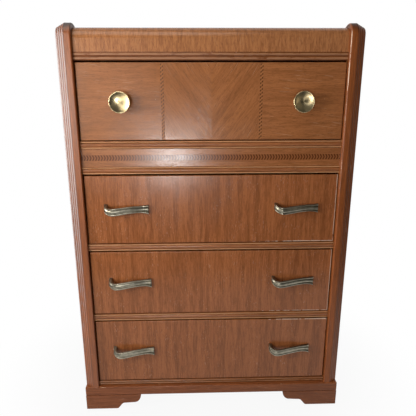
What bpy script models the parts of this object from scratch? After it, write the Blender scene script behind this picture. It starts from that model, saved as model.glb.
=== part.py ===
"""Waterfall chest of drawers: a reeded case with a rolled top, four drawers and a bracket plinth.

Metres, +Z up, front towards -Y. The origin is on the floor, under the middle of the chest's box.
"""
import math

import bmesh
import bpy
from mathutils import Matrix, Vector

# Gap that two touching pieces keep, and how near two points of one mesh count as the same
FIT = 0.0003
WELD = FIT / 10

# Steps round a small corner, along an arc and along a bevel
CORNER_STEPS = 4
BEVEL_STEPS = 2

# Case, across the posts and from the posts' front to the back
CASE_WIDTH = 0.813
CASE_DEPTH = 0.455
SIDE_THICKNESS = 0.016
SIDE_INSET = 0.002
BACK_THICKNESS = 0.004
BACK_INSET = 0.006

# Reeded posts, which roll over above the top, fall level with it and run to the back
POST_STRIP = 0.0175
POST_FACET = 0.0245
POST_FACET_DROP = 0.013
POST_DEPTH = 0.026
POST_PROUD = 0.011
POST_INNER_RADIUS = 0.005
POST_CREST = 0.010
POST_CREST_FALL = 0.045
POST_EDGE_ROUND = 0.004
REED_COUNT = 4
REED_HEIGHT = 0.0016

# Rolled top
TOP_RADIUS = 0.030
TOP_STRAIGHT = 0.0335
TOP_THICKNESS = 0.018
ROLL_STEPS = 12

# Beaded rails and the frieze, with the share of a rail's height that each of its beads takes
RAIL_HEIGHT = 0.021
RAIL_LAP = 0.029
RAIL_PROUD = 0.002
RAIL_BEADS = (1.0, 2.2, 1.0)
TOP_BEADS = (1.0, 1.0)
BEAD_HEIGHT = 0.002
BOTTOM_RAIL_HEIGHT = 0.0145
BOTTOM_BEADS = (1.0, 1.0)
BEAD_STEPS = 6
FRIEZE_HEIGHT = 0.051
FRIEZE_THICKNESS = 0.018
FRIEZE_INLAY_HEIGHT = 0.017
INLAY_DEPTH = 0.0012

# Plinth and bracket feet
PLINTH_HEIGHT = 0.0305
PLINTH_OVERHANG = 0.0015
PLINTH_STEP = 0.003
PLINTH_MEMBER = 0.055
PLINTH_ROUND = 0.003
FOOT_HEIGHT = 0.0505
FOOT_THICKNESS = 0.024
FOOT_FRONT_PAD = 0.098
FOOT_SIDE_PAD = 0.060
FOOT_SLOPE = 0.024
FOOT_STEP_LENGTH = 0.034
FOOT_STEP_LOW = 0.0205
FOOT_STEP_HIGH = 0.0225
FOOT_SHOULDER = 0.021
FOOT_STEPS = 6

# Drawers
TOP_DRAWER_HEIGHT = 0.205
MIDDLE_DRAWER_HEIGHT = 0.202
BOTTOM_DRAWER_HEIGHT = 0.211
DRAWER_GAP_BELOW = 0.002
DRAWER_GAP_ABOVE = 0.0045
DRAWER_GAP_SIDE = 0.0022
DRAWER_FRONT_THICKNESS = 0.020
DRAWER_EDGE_ROUND = 0.002
DRAWER_SIDE_THICKNESS = 0.012
DRAWER_SIDE_INSET = 0.001
DRAWER_SIDE_DROP = 0.032
DRAWER_BACK_CLEARANCE = 0.035
DRAWER_BOTTOM_THICKNESS = 0.005
DRAWER_BOTTOM_RAISE = 0.010
DRAWER_GROOVE_DEPTH = 0.006
CENTRE_PANEL = 0.268
DRAWER_INLAY_WIDTH = 0.0088

# Runners, an L section: a ledge under the drawer's side and a guide beside it
RUNNER_LEDGE_REACH = 0.006
RUNNER_GUIDE_HEIGHT = 0.022
RUNNER_CLEARANCE = 0.001

# Knobs on the top drawer and strap pulls on the others, centred this far from the drawer's end
HARDWARE_INSET = 0.1168
KNOB_RADIUS = 0.0285
KNOB_REACH = 0.031
KNOB_RIM = 0.004
KNOB_RIM_LAND = 0.0015
KNOB_DISH_DEPTH = 0.0045
KNOB_STEM_RADIUS = 0.011
KNOB_BASE_RADIUS = 0.0145
KNOB_BASE_HEIGHT = 0.0035
KNOB_NECK = 0.010
KNOB_STEPS = 32
KNOB_CURVE_STEPS = 6
PULL_RAISE = 0.0035
PULL_HALF_LENGTH = 0.062
PULL_REACH = 0.0235
PULL_STRAP_HEIGHT = 0.019
PULL_STRAP_THICKNESS = 0.005
PULL_FOOT_THICKNESS = 0.0094
PULL_STEPS_PER_STATION = 4
PULL_SHARP_ANGLE = math.radians(35)

# Stations along a pull: shares of its half length, its reach and, for rise and height, its strap height
PULL_STATIONS = (
    (-0.965, 0.00, 0.42, 0.74),
    (-0.955, 0.50, 0.18, 0.86),
    (-0.810, 0.89, -0.12, 0.97),
    (-0.560, 1.00, -0.18, 1.00),
    (0.130, 0.66, 0.03, 0.92),
    (0.580, 0.36, 0.06, 0.96),
    (0.840, 0.23, 0.02, 1.15),
    (1.000, 0.20, -0.02, 1.45),
)
# A strap's section, upper half: share of the half height, share of the thickness from the back
PULL_SECTION = ((1.00, 0.00), (1.00, 0.62), (0.88, 1.00), (0.64, 1.00), (0.54, 0.78), (0.24, 0.92))

# Places worked out from the sizes above
POST_WIDTH = POST_STRIP + POST_FACET
OPENING_HALF = CASE_WIDTH / 2 - POST_WIDTH
POST_RADIUS = POST_DEPTH + POST_INNER_RADIUS
KNOB_OVERHANG = KNOB_REACH - POST_PROUD
BACK_Y = (CASE_DEPTH + KNOB_OVERHANG) / 2
FRONT_Y = BACK_Y - CASE_DEPTH
FACE_Y = FRONT_Y + POST_PROUD
CARCASS_BACK_Y = BACK_Y - BACK_THICKNESS - FIT
RAIL_BACK_Y = FRONT_Y + POST_DEPTH + RAIL_LAP
SIDE_OUTER = CASE_WIDTH / 2 - SIDE_INSET
SIDE_INNER = SIDE_OUTER - SIDE_THICKNESS
PLINTH_HALF = CASE_WIDTH / 2 + PLINTH_OVERHANG
PLINTH_FRONT_Y = FRONT_Y - PLINTH_STEP
PLINTH_TOP = FOOT_HEIGHT + PLINTH_HEIGHT

# Levels, from the plinth up
DRAWER_GAPS = DRAWER_GAP_BELOW + DRAWER_GAP_ABOVE
FLOOR_4 = PLINTH_TOP + BOTTOM_RAIL_HEIGHT
LOWER_RAIL_Z = FLOOR_4 + BOTTOM_DRAWER_HEIGHT + DRAWER_GAPS
FLOOR_3 = LOWER_RAIL_Z + RAIL_HEIGHT
MIDDLE_RAIL_Z = FLOOR_3 + MIDDLE_DRAWER_HEIGHT + DRAWER_GAPS
FLOOR_2 = MIDDLE_RAIL_Z + RAIL_HEIGHT
FRIEZE_RAIL_Z = FLOOR_2 + MIDDLE_DRAWER_HEIGHT + DRAWER_GAPS
FRIEZE_Z = FRIEZE_RAIL_Z + RAIL_HEIGHT
UPPER_RAIL_Z = FRIEZE_Z + FRIEZE_HEIGHT
FLOOR_1 = UPPER_RAIL_Z + RAIL_HEIGHT
TOP_MOULDING_Z = FLOOR_1 + TOP_DRAWER_HEIGHT + DRAWER_GAPS
ROLL_Z = TOP_MOULDING_Z + RAIL_HEIGHT
TOP_Z = ROLL_Z + TOP_STRAIGHT + TOP_RADIUS
CREST_Z = TOP_Z + POST_CREST

# Each drawer's floor level and its front's height, from the top drawer down
DRAWER_BAYS = (
    (FLOOR_1, TOP_DRAWER_HEIGHT),
    (FLOOR_2, MIDDLE_DRAWER_HEIGHT),
    (FLOOR_3, MIDDLE_DRAWER_HEIGHT),
    (FLOOR_4, BOTTOM_DRAWER_HEIGHT),
)

# Drawer places that the runners follow
DRAWER_HALF = OPENING_HALF - DRAWER_GAP_SIDE
DRAWER_SIDE_OUTER = DRAWER_HALF - DRAWER_SIDE_INSET
DRAWER_SIDE_INNER = DRAWER_SIDE_OUTER - DRAWER_SIDE_THICKNESS
DRAWER_FRONT_BACK_Y = FACE_Y + DRAWER_FRONT_THICKNESS
DRAWER_GROOVE_X = DRAWER_SIDE_INNER + DRAWER_GROOVE_DEPTH
DRAWER_GROOVE_Y = DRAWER_FRONT_BACK_Y - DRAWER_GROOVE_DEPTH
DRAWER_END_Y = CARCASS_BACK_Y - DRAWER_BACK_CLEARANCE
HARDWARE_X = DRAWER_HALF - HARDWARE_INSET

# How an outline's plane is turned so that it is drawn in (Y, Z), (X, Z) or (X, Y)
OUTLINE_TURNS = {
    "X": (math.pi / 2, 0.0, math.pi / 2),
    "Y": (math.pi / 2, 0.0, 0.0),
    "Z": (0.0, 0.0, 0.0),
}
SIDES = (("left", -1), ("right", 1))


# Scene, collections and materials

def clear_scene():
    """Remove every object that the file opened with."""
    for obj in list(bpy.data.objects):
        bpy.data.objects.remove(obj, do_unlink=True)


def new_collection(name):
    """Return a new collection linked to the scene."""
    collection = bpy.data.collections.new(name)
    bpy.context.scene.collection.children.link(collection)
    return collection


def new_material(name, colour, roughness, metallic=0.0):
    """Return a Principled material of one colour."""
    material = bpy.data.materials.new(name)
    material.use_nodes = True
    shader = material.node_tree.nodes["Principled BSDF"]
    shader.inputs["Base Color"].default_value = (*colour, 1.0)
    shader.inputs["Roughness"].default_value = roughness
    shader.inputs["Metallic"].default_value = metallic
    return material


clear_scene()
PARTS = new_collection("waterfall_chest")
GUIDES = new_collection("cutters")
CASE_WOOD = new_material("case_wood", (0.25, 0.11, 0.055), 0.4)
FACE_VENEER = new_material("face_veneer", (0.27, 0.12, 0.06), 0.38)
INLAY_BANDING = new_material("inlay_banding", (0.20, 0.10, 0.05), 0.45)
BOX_WOOD = new_material("box_wood", (0.48, 0.33, 0.19), 0.6)
AGED_BRASS = new_material("aged_brass", (0.46, 0.40, 0.27), 0.38, 1.0)


# Helpers

def add_part(name, data, material, parent=None):
    """Link a named piece to the chest, under its drawer's empty if it has one."""
    obj = bpy.data.objects.new(name, data)
    data.materials.append(material)
    PARTS.objects.link(obj)
    if parent is not None:
        obj.parent = parent
        obj.matrix_parent_inverse = Matrix.Translation(-parent.location)
    return obj


def make_guide(obj):
    """Keep a cutter or a profile out of the finished chest."""
    obj.hide_render = True
    obj.display_type = "WIRE"
    return obj


def box_mesh(name, x, y, z):
    """Return a box mesh about its own centre, and that centre, from three (low, high) spans."""
    spans = (x, y, z)
    bm = bmesh.new()
    bmesh.ops.create_cube(bm, size=1.0)
    bmesh.ops.scale(bm, vec=[high - low for low, high in spans], verts=bm.verts)
    mesh = bpy.data.meshes.new(name)
    bm.to_mesh(mesh)
    bm.free()
    return mesh, Vector([(low + high) / 2 for low, high in spans])


def board(name, x, y, z, material, parent=None):
    """Add a plain rectangular board."""
    mesh, centre = box_mesh(name, x, y, z)
    obj = add_part(name, mesh, material, parent)
    obj.location = centre
    return obj


def cut_box(target, name, x, y, z):
    """Cut a rectangular groove in a mesh piece."""
    mesh, centre = box_mesh(name, x, y, z)
    cutter = make_guide(bpy.data.objects.new(name, mesh))
    GUIDES.objects.link(cutter)
    cutter.location = centre
    subtract(target, cutter)


def subtract(target, cutter):
    """Cut one mesh object out of another."""
    cut = target.modifiers.new("cut", "BOOLEAN")
    cut.operation = "DIFFERENCE"
    cut.object = cutter


def round_edges(obj, width):
    """Round all sharp edges of a board."""
    bevel = obj.modifiers.new("round", "BEVEL")
    bevel.width = width
    bevel.segments = BEVEL_STEPS
    bevel.limit_method = "ANGLE"


def counter_clockwise(outline):
    """Return the outline, turned round if it runs clockwise."""
    pairs = zip(outline, outline[1:] + outline[:1])
    area = sum(a[0] * b[1] - b[0] * a[1] for a, b in pairs)
    return outline if area > 0 else outline[::-1]


def poly_curve(name, points, cyclic):
    """Return flat curve data through the given points."""
    curve = bpy.data.curves.new(name, "CURVE")
    curve.dimensions = "2D"
    spline = curve.splines.new("POLY")
    spline.points.add(len(points) - 1)
    for point, (u, v) in zip(spline.points, points):
        point.co = (u, v, 0.0, 1.0)
    spline.use_cyclic_u = cyclic
    return curve


def extrusion(name, outline, axis, low, high, material, parent=None):
    """Add an outline in world places, extruded along one axis from low to high."""
    curve = poly_curve(name, counter_clockwise(outline), True)
    curve.fill_mode = "BOTH"
    curve.extrude = (high - low) / 2
    obj = add_part(name, curve, material, parent)
    obj.rotation_euler = OUTLINE_TURNS[axis]
    obj.location["XYZ".index(axis)] = (low + high) / 2
    return obj


def as_mesh(curve_object):
    """Replace an extruded curve with its closed mesh, ready for Boolean cuts."""
    bpy.context.view_layer.update()
    name = curve_object.name
    material = curve_object.data.materials[0]
    place = curve_object.matrix_world.copy()
    evaluated = curve_object.evaluated_get(bpy.context.evaluated_depsgraph_get())
    mesh = bpy.data.meshes.new_from_object(evaluated)
    mesh.materials.clear()
    bm = bmesh.new()
    bm.from_mesh(mesh)
    bmesh.ops.remove_doubles(bm, verts=bm.verts, dist=WELD)
    bmesh.ops.recalc_face_normals(bm, faces=bm.faces)
    bm.to_mesh(mesh)
    bm.free()
    bpy.data.objects.remove(curve_object, do_unlink=True)
    obj = add_part(name, mesh, material)
    obj.matrix_world = place
    return obj


def arc(centre, radii, start, end, steps):
    """Return points along an elliptic arc, with its angles in degrees."""
    points = []
    for i in range(steps + 1):
        angle = math.radians(start + (end - start) * i / steps)
        points.append((centre[0] + radii[0] * math.cos(angle), centre[1] + radii[1] * math.sin(angle)))
    return points


def beads(start, end, shares, height):
    """Return points along a run of round beads that stand to the left of the line from start to end."""
    run = (Vector(end) - Vector(start)) / sum(shares)
    out = Vector((-run.y, run.x)).normalized() * height
    points = []
    place = Vector(start)
    for share in shares:
        for i in range(BEAD_STEPS):
            swell = math.sqrt(math.sin(math.pi * i / BEAD_STEPS))
            points.append(tuple(place + run * share * i / BEAD_STEPS + out * swell))
        place += run * share
    points.append(tuple(end))
    return points


# Case

def post_profile():
    """Return a post's section: across from its inner edge, and in from its front."""
    facet_end = (POST_WIDTH, POST_FACET_DROP)
    edge = (POST_EDGE_ROUND, POST_EDGE_ROUND)
    outline = arc(edge, edge, 180, 270, CORNER_STEPS)
    outline += beads(facet_end, (POST_STRIP, 0.0), [1.0] * REED_COUNT, REED_HEIGHT)[::-1]
    outline += [(POST_WIDTH, POST_DEPTH), (0.0, POST_DEPTH)]
    return outline


def roll_path():
    """Return the line that a post's front follows, in (Y, Z): up, round the roll, down and back."""
    centre = (FRONT_Y + POST_RADIUS, CREST_Z - POST_RADIUS)
    path = [(FRONT_Y, PLINTH_TOP + FIT)]
    path += arc(centre, (POST_RADIUS, POST_RADIUS), 180, 90, ROLL_STEPS)
    for i in range(1, ROLL_STEPS + 1):
        share = i / ROLL_STEPS
        fall = POST_CREST * (1 - math.cos(math.pi * share)) / 2
        path.append((centre[0] + POST_CREST_FALL * share, CREST_Z - fall))
    path.append((CARCASS_BACK_Y, TOP_Z))
    return path


def inset_path(path, distance):
    """Return a path moved to its right by the given distance."""
    places = [Vector(point) for point in path]
    directions = [(end - start).normalized() for start, end in zip(places, places[1:])]
    before = directions[:1] + directions
    after = directions + directions[-1:]
    moved = []
    for place, arriving, leaving in zip(places, before, after):
        along = (arriving + leaving).normalized()
        moved.append(tuple(place + distance * Vector((along.y, -along.x))))
    return moved


def add_posts():
    """Add the two posts: the reeded section swept up the front and over the top."""
    for side, sign in SIDES:
        section = counter_clockwise([(depth, sign * across) for across, depth in post_profile()])[::-1]
        profile = bpy.data.objects.new(f"{side}_post_profile", poly_curve("profile", section, True))
        GUIDES.objects.link(make_guide(profile))
        curve = poly_curve(f"{side}_post", roll_path(), False)
        curve.bevel_mode = "OBJECT"
        curve.bevel_object = profile
        curve.use_fill_caps = True
        post = add_part(f"{side}_post", curve, CASE_WOOD)
        post.rotation_euler = OUTLINE_TURNS["X"]
        post.location.x = sign * OPENING_HALF


def add_sides_and_back():
    """Add the side panels, which follow the posts' inner curve, and the back."""
    outline = inset_path(roll_path(), POST_DEPTH + FIT)
    outline.append((CARCASS_BACK_Y, PLINTH_TOP + FIT))
    for side, sign in SIDES:
        low, high = sorted((sign * SIDE_INNER, sign * SIDE_OUTER))
        extrusion(f"{side}_side_panel", outline, "X", low, high, CASE_WOOD)
    back_half = CASE_WIDTH / 2 - BACK_INSET
    back_span = (FOOT_HEIGHT + FIT, TOP_Z - BACK_INSET)
    board("back_panel", (-back_half, back_half), (BACK_Y - BACK_THICKNESS, BACK_Y), back_span, BOX_WOOD)


def add_top():
    """Add the rolled top between the posts."""
    centre = (FACE_Y + TOP_RADIUS, TOP_Z - TOP_RADIUS)
    inner = TOP_RADIUS - TOP_THICKNESS
    outline = [(FACE_Y, ROLL_Z + FIT)]
    outline += arc(centre, (TOP_RADIUS, TOP_RADIUS), 180, 90, ROLL_STEPS)
    outline += [(CARCASS_BACK_Y, TOP_Z), (CARCASS_BACK_Y, TOP_Z - TOP_THICKNESS)]
    outline += arc(centre, (inner, inner), 90, 180, ROLL_STEPS)
    outline.append((FACE_Y + TOP_THICKNESS, ROLL_Z + FIT))
    extrusion("waterfall_top", outline, "X", FIT - OPENING_HALF, OPENING_HALF - FIT, FACE_VENEER)


def add_rail(name, low, high, bead_shares):
    """Add a rail between the posts, with beads along its front."""
    valley = FACE_Y - RAIL_PROUD + BEAD_HEIGHT
    outline = beads((valley, low), (valley, high), bead_shares, BEAD_HEIGHT)
    outline += [(RAIL_BACK_Y, high), (RAIL_BACK_Y, low)]
    extrusion(name, outline, "X", FIT - OPENING_HALF, OPENING_HALF - FIT, CASE_WOOD)


def add_rails():
    """Add the top moulding and the rails between the drawers."""
    add_rail("top_moulding", TOP_MOULDING_Z, ROLL_Z, TOP_BEADS)
    add_rail("upper_rail", UPPER_RAIL_Z, FLOOR_1, RAIL_BEADS)
    add_rail("frieze_rail", FRIEZE_RAIL_Z, FRIEZE_Z, RAIL_BEADS)
    add_rail("middle_rail", MIDDLE_RAIL_Z, FLOOR_2, RAIL_BEADS)
    add_rail("lower_rail", LOWER_RAIL_Z, FLOOR_3, RAIL_BEADS)
    add_rail("bottom_rail", PLINTH_TOP + FIT, FLOOR_4, BOTTOM_BEADS)


def add_frieze():
    """Add the frieze board, grooved for its band, and the inlaid band."""
    low, high = FRIEZE_Z + FIT, UPPER_RAIL_Z - FIT
    middle = (low + high) / 2
    groove_half = FRIEZE_INLAY_HEIGHT / 2 + FIT
    groove_y = FACE_Y + INLAY_DEPTH + FIT
    back = FACE_Y + FRIEZE_THICKNESS
    outline = [(FACE_Y, low), (FACE_Y, middle - groove_half), (groove_y, middle - groove_half)]
    outline += [(groove_y, middle + groove_half), (FACE_Y, middle + groove_half), (FACE_Y, high)]
    outline += [(back, high), (back, low)]
    half = OPENING_HALF - FIT
    extrusion("frieze_board", outline, "X", -half, half, FACE_VENEER)
    band = (middle - FRIEZE_INLAY_HEIGHT / 2, middle + FRIEZE_INLAY_HEIGHT / 2)
    board("frieze_inlay", (-half, half), (FACE_Y, FACE_Y + INLAY_DEPTH), band, INLAY_BANDING)


def add_runners():
    """Add each drawer's two runners, fixed to the side panels behind the rails."""
    ledge_end = DRAWER_SIDE_INNER - RUNNER_LEDGE_REACH
    guide = DRAWER_SIDE_OUTER + RUNNER_CLEARANCE
    wall = SIDE_INNER - FIT
    for number, (floor, _) in enumerate(DRAWER_BAYS, start=1):
        under = floor - BOTTOM_RAIL_HEIGHT + FIT
        top = floor + RUNNER_GUIDE_HEIGHT
        section = [(ledge_end, under), (wall, under), (wall, top), (guide, top), (guide, floor)]
        section.append((ledge_end, floor))
        for side, sign in SIDES:
            outline = [(sign * x, z) for x, z in section]
            name = f"drawer_{number}_{side}_runner"
            extrusion(name, outline, "Y", RAIL_BACK_Y + FIT, CARCASS_BACK_Y, BOX_WOOD)


# Plinth and feet

def add_plinth():
    """Add the four members of the plinth frame, under the posts and the side panels."""
    rise = (FOOT_HEIGHT + FIT, PLINTH_TOP)
    inner = PLINTH_HALF - PLINTH_MEMBER
    front_y = (PLINTH_FRONT_Y, RAIL_BACK_Y)
    front = board("plinth_front", (-PLINTH_HALF, PLINTH_HALF), front_y, rise, CASE_WOOD)
    round_edges(front, PLINTH_ROUND)
    side_y = (RAIL_BACK_Y + FIT, CARCASS_BACK_Y)
    for side, sign in SIDES:
        x = sorted((sign * inner, sign * PLINTH_HALF))
        board(f"plinth_{side}", x, side_y, rise, CASE_WOOD)
    back_y = (CARCASS_BACK_Y - PLINTH_MEMBER, CARCASS_BACK_Y)
    board("plinth_back", (FIT - inner, inner - FIT), back_y, rise, BOX_WOOD)


def bracket_void(pad):
    """Return the space under a bracket foot's inner end: out from the corner, and up from the floor."""
    slope_end = pad + FOOT_SLOPE
    step_end = slope_end + FOOT_STEP_LENGTH
    outline = [(pad, -FIT)]
    for i in range(FOOT_STEPS + 1):
        share = i / FOOT_STEPS
        outline.append((pad + FOOT_SLOPE * share, FOOT_STEP_LOW * (1 - math.cos(math.pi * share)) / 2))
    shoulder = (FOOT_SHOULDER, FOOT_HEIGHT + FIT - FOOT_STEP_HIGH)
    outline += arc((step_end, FOOT_HEIGHT + FIT), shoulder, -90, 0, FOOT_STEPS)
    outline += [(bracket_length(pad) + FIT, FOOT_HEIGHT + FIT), (bracket_length(pad) + FIT, -FIT)]
    return outline


def bracket_length(pad):
    """Return a bracket's whole length from its corner."""
    return pad + FOOT_SLOPE + FOOT_STEP_LENGTH + FOOT_SHOULDER


def foot_plan(length_x, length_y):
    """Return a foot's L plan from its outer corner at the origin, with the corner rounded."""
    corner = (PLINTH_ROUND, PLINTH_ROUND)
    outline = arc(corner, corner, 180, 270, CORNER_STEPS)
    outline += [(length_x, 0.0), (length_x, FOOT_THICKNESS), (FOOT_THICKNESS, FOOT_THICKNESS)]
    outline += [(FOOT_THICKNESS, length_y), (0.0, length_y)]
    return outline


def add_void(name, outline, axis, low, high):
    """Return a cutter for the space under one side of a bracket."""
    cutter = make_guide(as_mesh(extrusion(name, outline, axis, low, high, CASE_WOOD)))
    PARTS.objects.unlink(cutter)
    GUIDES.objects.link(cutter)
    return cutter


def add_foot(name, corner_x, corner_y, sign, into):
    """Add one bracket foot: an L in plan from its outer corner, cut to the bracket on both faces."""
    plan = foot_plan(bracket_length(FOOT_FRONT_PAD), bracket_length(FOOT_SIDE_PAD))
    outline = [(corner_x - sign * x, corner_y + into * y) for x, y in plan]
    foot = as_mesh(extrusion(name, outline, "Z", 0.0, FOOT_HEIGHT, CASE_WOOD))
    front_void = [(corner_x - sign * out, z) for out, z in bracket_void(FOOT_FRONT_PAD)]
    side_void = [(corner_y + into * out, z) for out, z in bracket_void(FOOT_SIDE_PAD)]
    span_y = sorted((corner_y - into * FIT, corner_y + into * (FOOT_THICKNESS + FIT)))
    span_x = sorted((corner_x + sign * FIT, corner_x - sign * (FOOT_THICKNESS + FIT)))
    subtract(foot, add_void(f"{name}_front_void", front_void, "Y", *span_y))
    subtract(foot, add_void(f"{name}_side_void", side_void, "X", *span_x))


def add_feet():
    """Add the four bracket feet under the plinth's corners."""
    for end, corner_y, into in (("front", PLINTH_FRONT_Y, 1), ("rear", CARCASS_BACK_Y, -1)):
        for side, sign in SIDES:
            add_foot(f"{end}_{side}_foot", sign * PLINTH_HALF, corner_y, sign, into)


# Drawers and their hardware

def bottom_span(floor):
    """Return the heights of a drawer's bottom panel, from the drawer's floor level."""
    low = floor + FIT + DRAWER_BOTTOM_RAISE
    return low, low + DRAWER_BOTTOM_THICKNESS


def side_top(floor, height):
    """Return the level that a drawer's sides and back reach, below its front's top edge."""
    return floor + DRAWER_GAP_BELOW + height - DRAWER_SIDE_DROP


def add_drawer_front(number, floor, height, slide):
    """Add a drawer's front, grooved along its back for the bottom panel."""
    low = floor + DRAWER_GAP_BELOW
    across = (-DRAWER_HALF, DRAWER_HALF)
    through = (FACE_Y, DRAWER_FRONT_BACK_Y)
    front = board(f"drawer_{number}_front", across, through, (low, low + height), FACE_VENEER, slide)
    round_edges(front, DRAWER_EDGE_ROUND)
    bottom_low, bottom_high = bottom_span(floor)
    groove_x = (-DRAWER_GROOVE_X, DRAWER_GROOVE_X)
    groove_y = (DRAWER_GROOVE_Y, DRAWER_FRONT_BACK_Y + FIT)
    groove_z = (bottom_low - FIT, bottom_high + FIT)
    cut_box(front, f"drawer_{number}_bottom_groove", groove_x, groove_y, groove_z)
    return front


def add_drawer_sides(number, floor, height, slide):
    """Add a drawer's two sides, grooved inside for the bottom panel."""
    base, top = floor + FIT, side_top(floor, height)
    bottom_low, bottom_high = bottom_span(floor)
    section = [(DRAWER_SIDE_INNER, base), (DRAWER_SIDE_OUTER, base), (DRAWER_SIDE_OUTER, top)]
    section += [(DRAWER_SIDE_INNER, top), (DRAWER_SIDE_INNER, bottom_high + FIT)]
    section += [(DRAWER_GROOVE_X, bottom_high + FIT), (DRAWER_GROOVE_X, bottom_low - FIT)]
    section.append((DRAWER_SIDE_INNER, bottom_low - FIT))
    for side, sign in SIDES:
        outline = [(sign * x, z) for x, z in section]
        name = f"drawer_{number}_{side}_side"
        extrusion(name, outline, "Y", DRAWER_FRONT_BACK_Y + FIT, DRAWER_END_Y, BOX_WOOD, slide)


def add_drawer_back_and_bottom(number, floor, height, slide):
    """Add a drawer's back, which stands on its bottom panel, and the panel in its grooves."""
    bottom_low, bottom_high = bottom_span(floor)
    back_half = DRAWER_SIDE_INNER - FIT
    back_y = (DRAWER_END_Y - DRAWER_SIDE_THICKNESS, DRAWER_END_Y)
    back_z = (bottom_high + FIT, side_top(floor, height))
    board(f"drawer_{number}_back", (-back_half, back_half), back_y, back_z, BOX_WOOD, slide)
    bottom_half = DRAWER_GROOVE_X - FIT
    bottom_y = (DRAWER_GROOVE_Y + FIT, DRAWER_END_Y)
    bottom_z = (bottom_low, bottom_high)
    board(f"drawer_{number}_bottom", (-bottom_half, bottom_half), bottom_y, bottom_z, BOX_WOOD, slide)


def add_drawer_inlays(front, slide):
    """Set two upright bands into the top drawer's front, beside its centre panel."""
    low = FLOOR_1 + DRAWER_GAP_BELOW
    high = low + TOP_DRAWER_HEIGHT
    band_half = DRAWER_INLAY_WIDTH / 2
    groove_half = band_half + FIT
    groove_y = (FACE_Y - FIT, FACE_Y + INLAY_DEPTH + FIT)
    groove_z = (low - FIT, high + FIT)
    band_y = (FACE_Y, FACE_Y + INLAY_DEPTH)
    band_z = (low + DRAWER_EDGE_ROUND, high - DRAWER_EDGE_ROUND)
    for side, sign in SIDES:
        name = f"drawer_1_{side}_inlay"
        x = sign * CENTRE_PANEL / 2
        cut_box(front, f"{name}_groove", (x - groove_half, x + groove_half), groove_y, groove_z)
        board(name, (x - band_half, x + band_half), band_y, band_z, INLAY_BANDING, slide)


def knob_profile():
    """Return a dished knob's half section, from the middle of its dish out, down and in to its foot."""
    dish = KNOB_RADIUS - KNOB_RIM_LAND
    profile = []
    for i in range(KNOB_CURVE_STEPS + 1):
        share = i / KNOB_CURVE_STEPS
        profile.append((dish * share, KNOB_REACH - KNOB_DISH_DEPTH * (1 - share ** 2)))
    profile += [(KNOB_RADIUS, KNOB_REACH - KNOB_RIM_LAND), (KNOB_RADIUS, KNOB_REACH - KNOB_RIM)]
    under = KNOB_REACH - KNOB_RIM
    neck_top = KNOB_BASE_HEIGHT + KNOB_NECK
    for i in range(1, KNOB_CURVE_STEPS + 1):
        angle = math.pi / 2 * i / KNOB_CURVE_STEPS
        radius = KNOB_STEM_RADIUS + (KNOB_RADIUS - KNOB_STEM_RADIUS) * (1 - math.sin(angle))
        profile.append((radius, neck_top + (under - neck_top) * math.cos(angle)))
    profile += [(KNOB_STEM_RADIUS, KNOB_BASE_HEIGHT), (KNOB_BASE_RADIUS, KNOB_BASE_HEIGHT)]
    profile += [(KNOB_BASE_RADIUS, FIT), (0.0, FIT)]
    return profile


def add_knob(name, x, z, slide):
    """Add a turned knob on a drawer's face."""
    points = [(radius, 0.0, height) for radius, height in knob_profile()]
    mesh = bpy.data.meshes.new(name)
    mesh.from_pydata(points, [(i, i + 1) for i in range(len(points) - 1)], [])
    knob = add_part(name, mesh, AGED_BRASS, slide)
    knob.location = (x, FACE_Y, z)
    knob.rotation_euler = (math.pi / 2, 0.0, 0.0)
    turn = knob.modifiers.new("turn", "SCREW")
    turn.steps = turn.render_steps = KNOB_STEPS
    turn.use_merge_vertices = True
    turn.merge_threshold = WELD
    turn.use_smooth_shade = True


def smooth_between(stations, steps):
    """Return points on a smooth curve through the stations, with this many steps between two."""
    ends = [stations[0], *stations, stations[-1]]
    points = [stations[0]]
    for before, start, end, after in zip(ends, ends[1:], ends[2:], ends[3:]):
        for i in range(1, steps + 1):
            t = i / steps
            weights = (
                (-t + 2 * t * t - t ** 3) / 2,
                (2 - 5 * t * t + 3 * t ** 3) / 2,
                (t + 4 * t * t - 3 * t ** 3) / 2,
                (t ** 3 - t * t) / 2,
            )
            points.append(before * weights[0] + start * weights[1] + end * weights[2] + after * weights[3])
    return points


def pull_sections():
    """Return a strap pull's sections, from its hooked end to its foot, about the middle of its back."""
    stations = []
    for share, reach, rise, height in PULL_STATIONS:
        place = (share * PULL_HALF_LENGTH, reach * PULL_REACH + FIT)
        stations.append(Vector((*place, rise * PULL_STRAP_HEIGHT, height * PULL_STRAP_HEIGHT / 2)))
    line = smooth_between(stations, PULL_STEPS_PER_STATION)
    half = list(PULL_SECTION)
    section = half + [(-up, out) for up, out in reversed(half)]
    rings = []
    for i, point in enumerate(line):
        ahead = line[min(i + 1, len(line) - 1)] - line[max(i - 1, 0)]
        along = Vector((ahead[0], ahead[1])).normalized() if i else Vector((0.0, 1.0))
        outward = Vector((-along.y, along.x))
        share = abs(point[0]) / PULL_HALF_LENGTH
        thickness = PULL_STRAP_THICKNESS + (PULL_FOOT_THICKNESS - PULL_STRAP_THICKNESS) * share ** 3
        ring = []
        for up, out in section:
            place = Vector((point[0], point[1])) + outward * thickness * (out - 0.5)
            ring.append((place.x, -max(place.y, FIT), point[2] + up * point[3]))
        rings.append(ring)
    return rings


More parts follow.
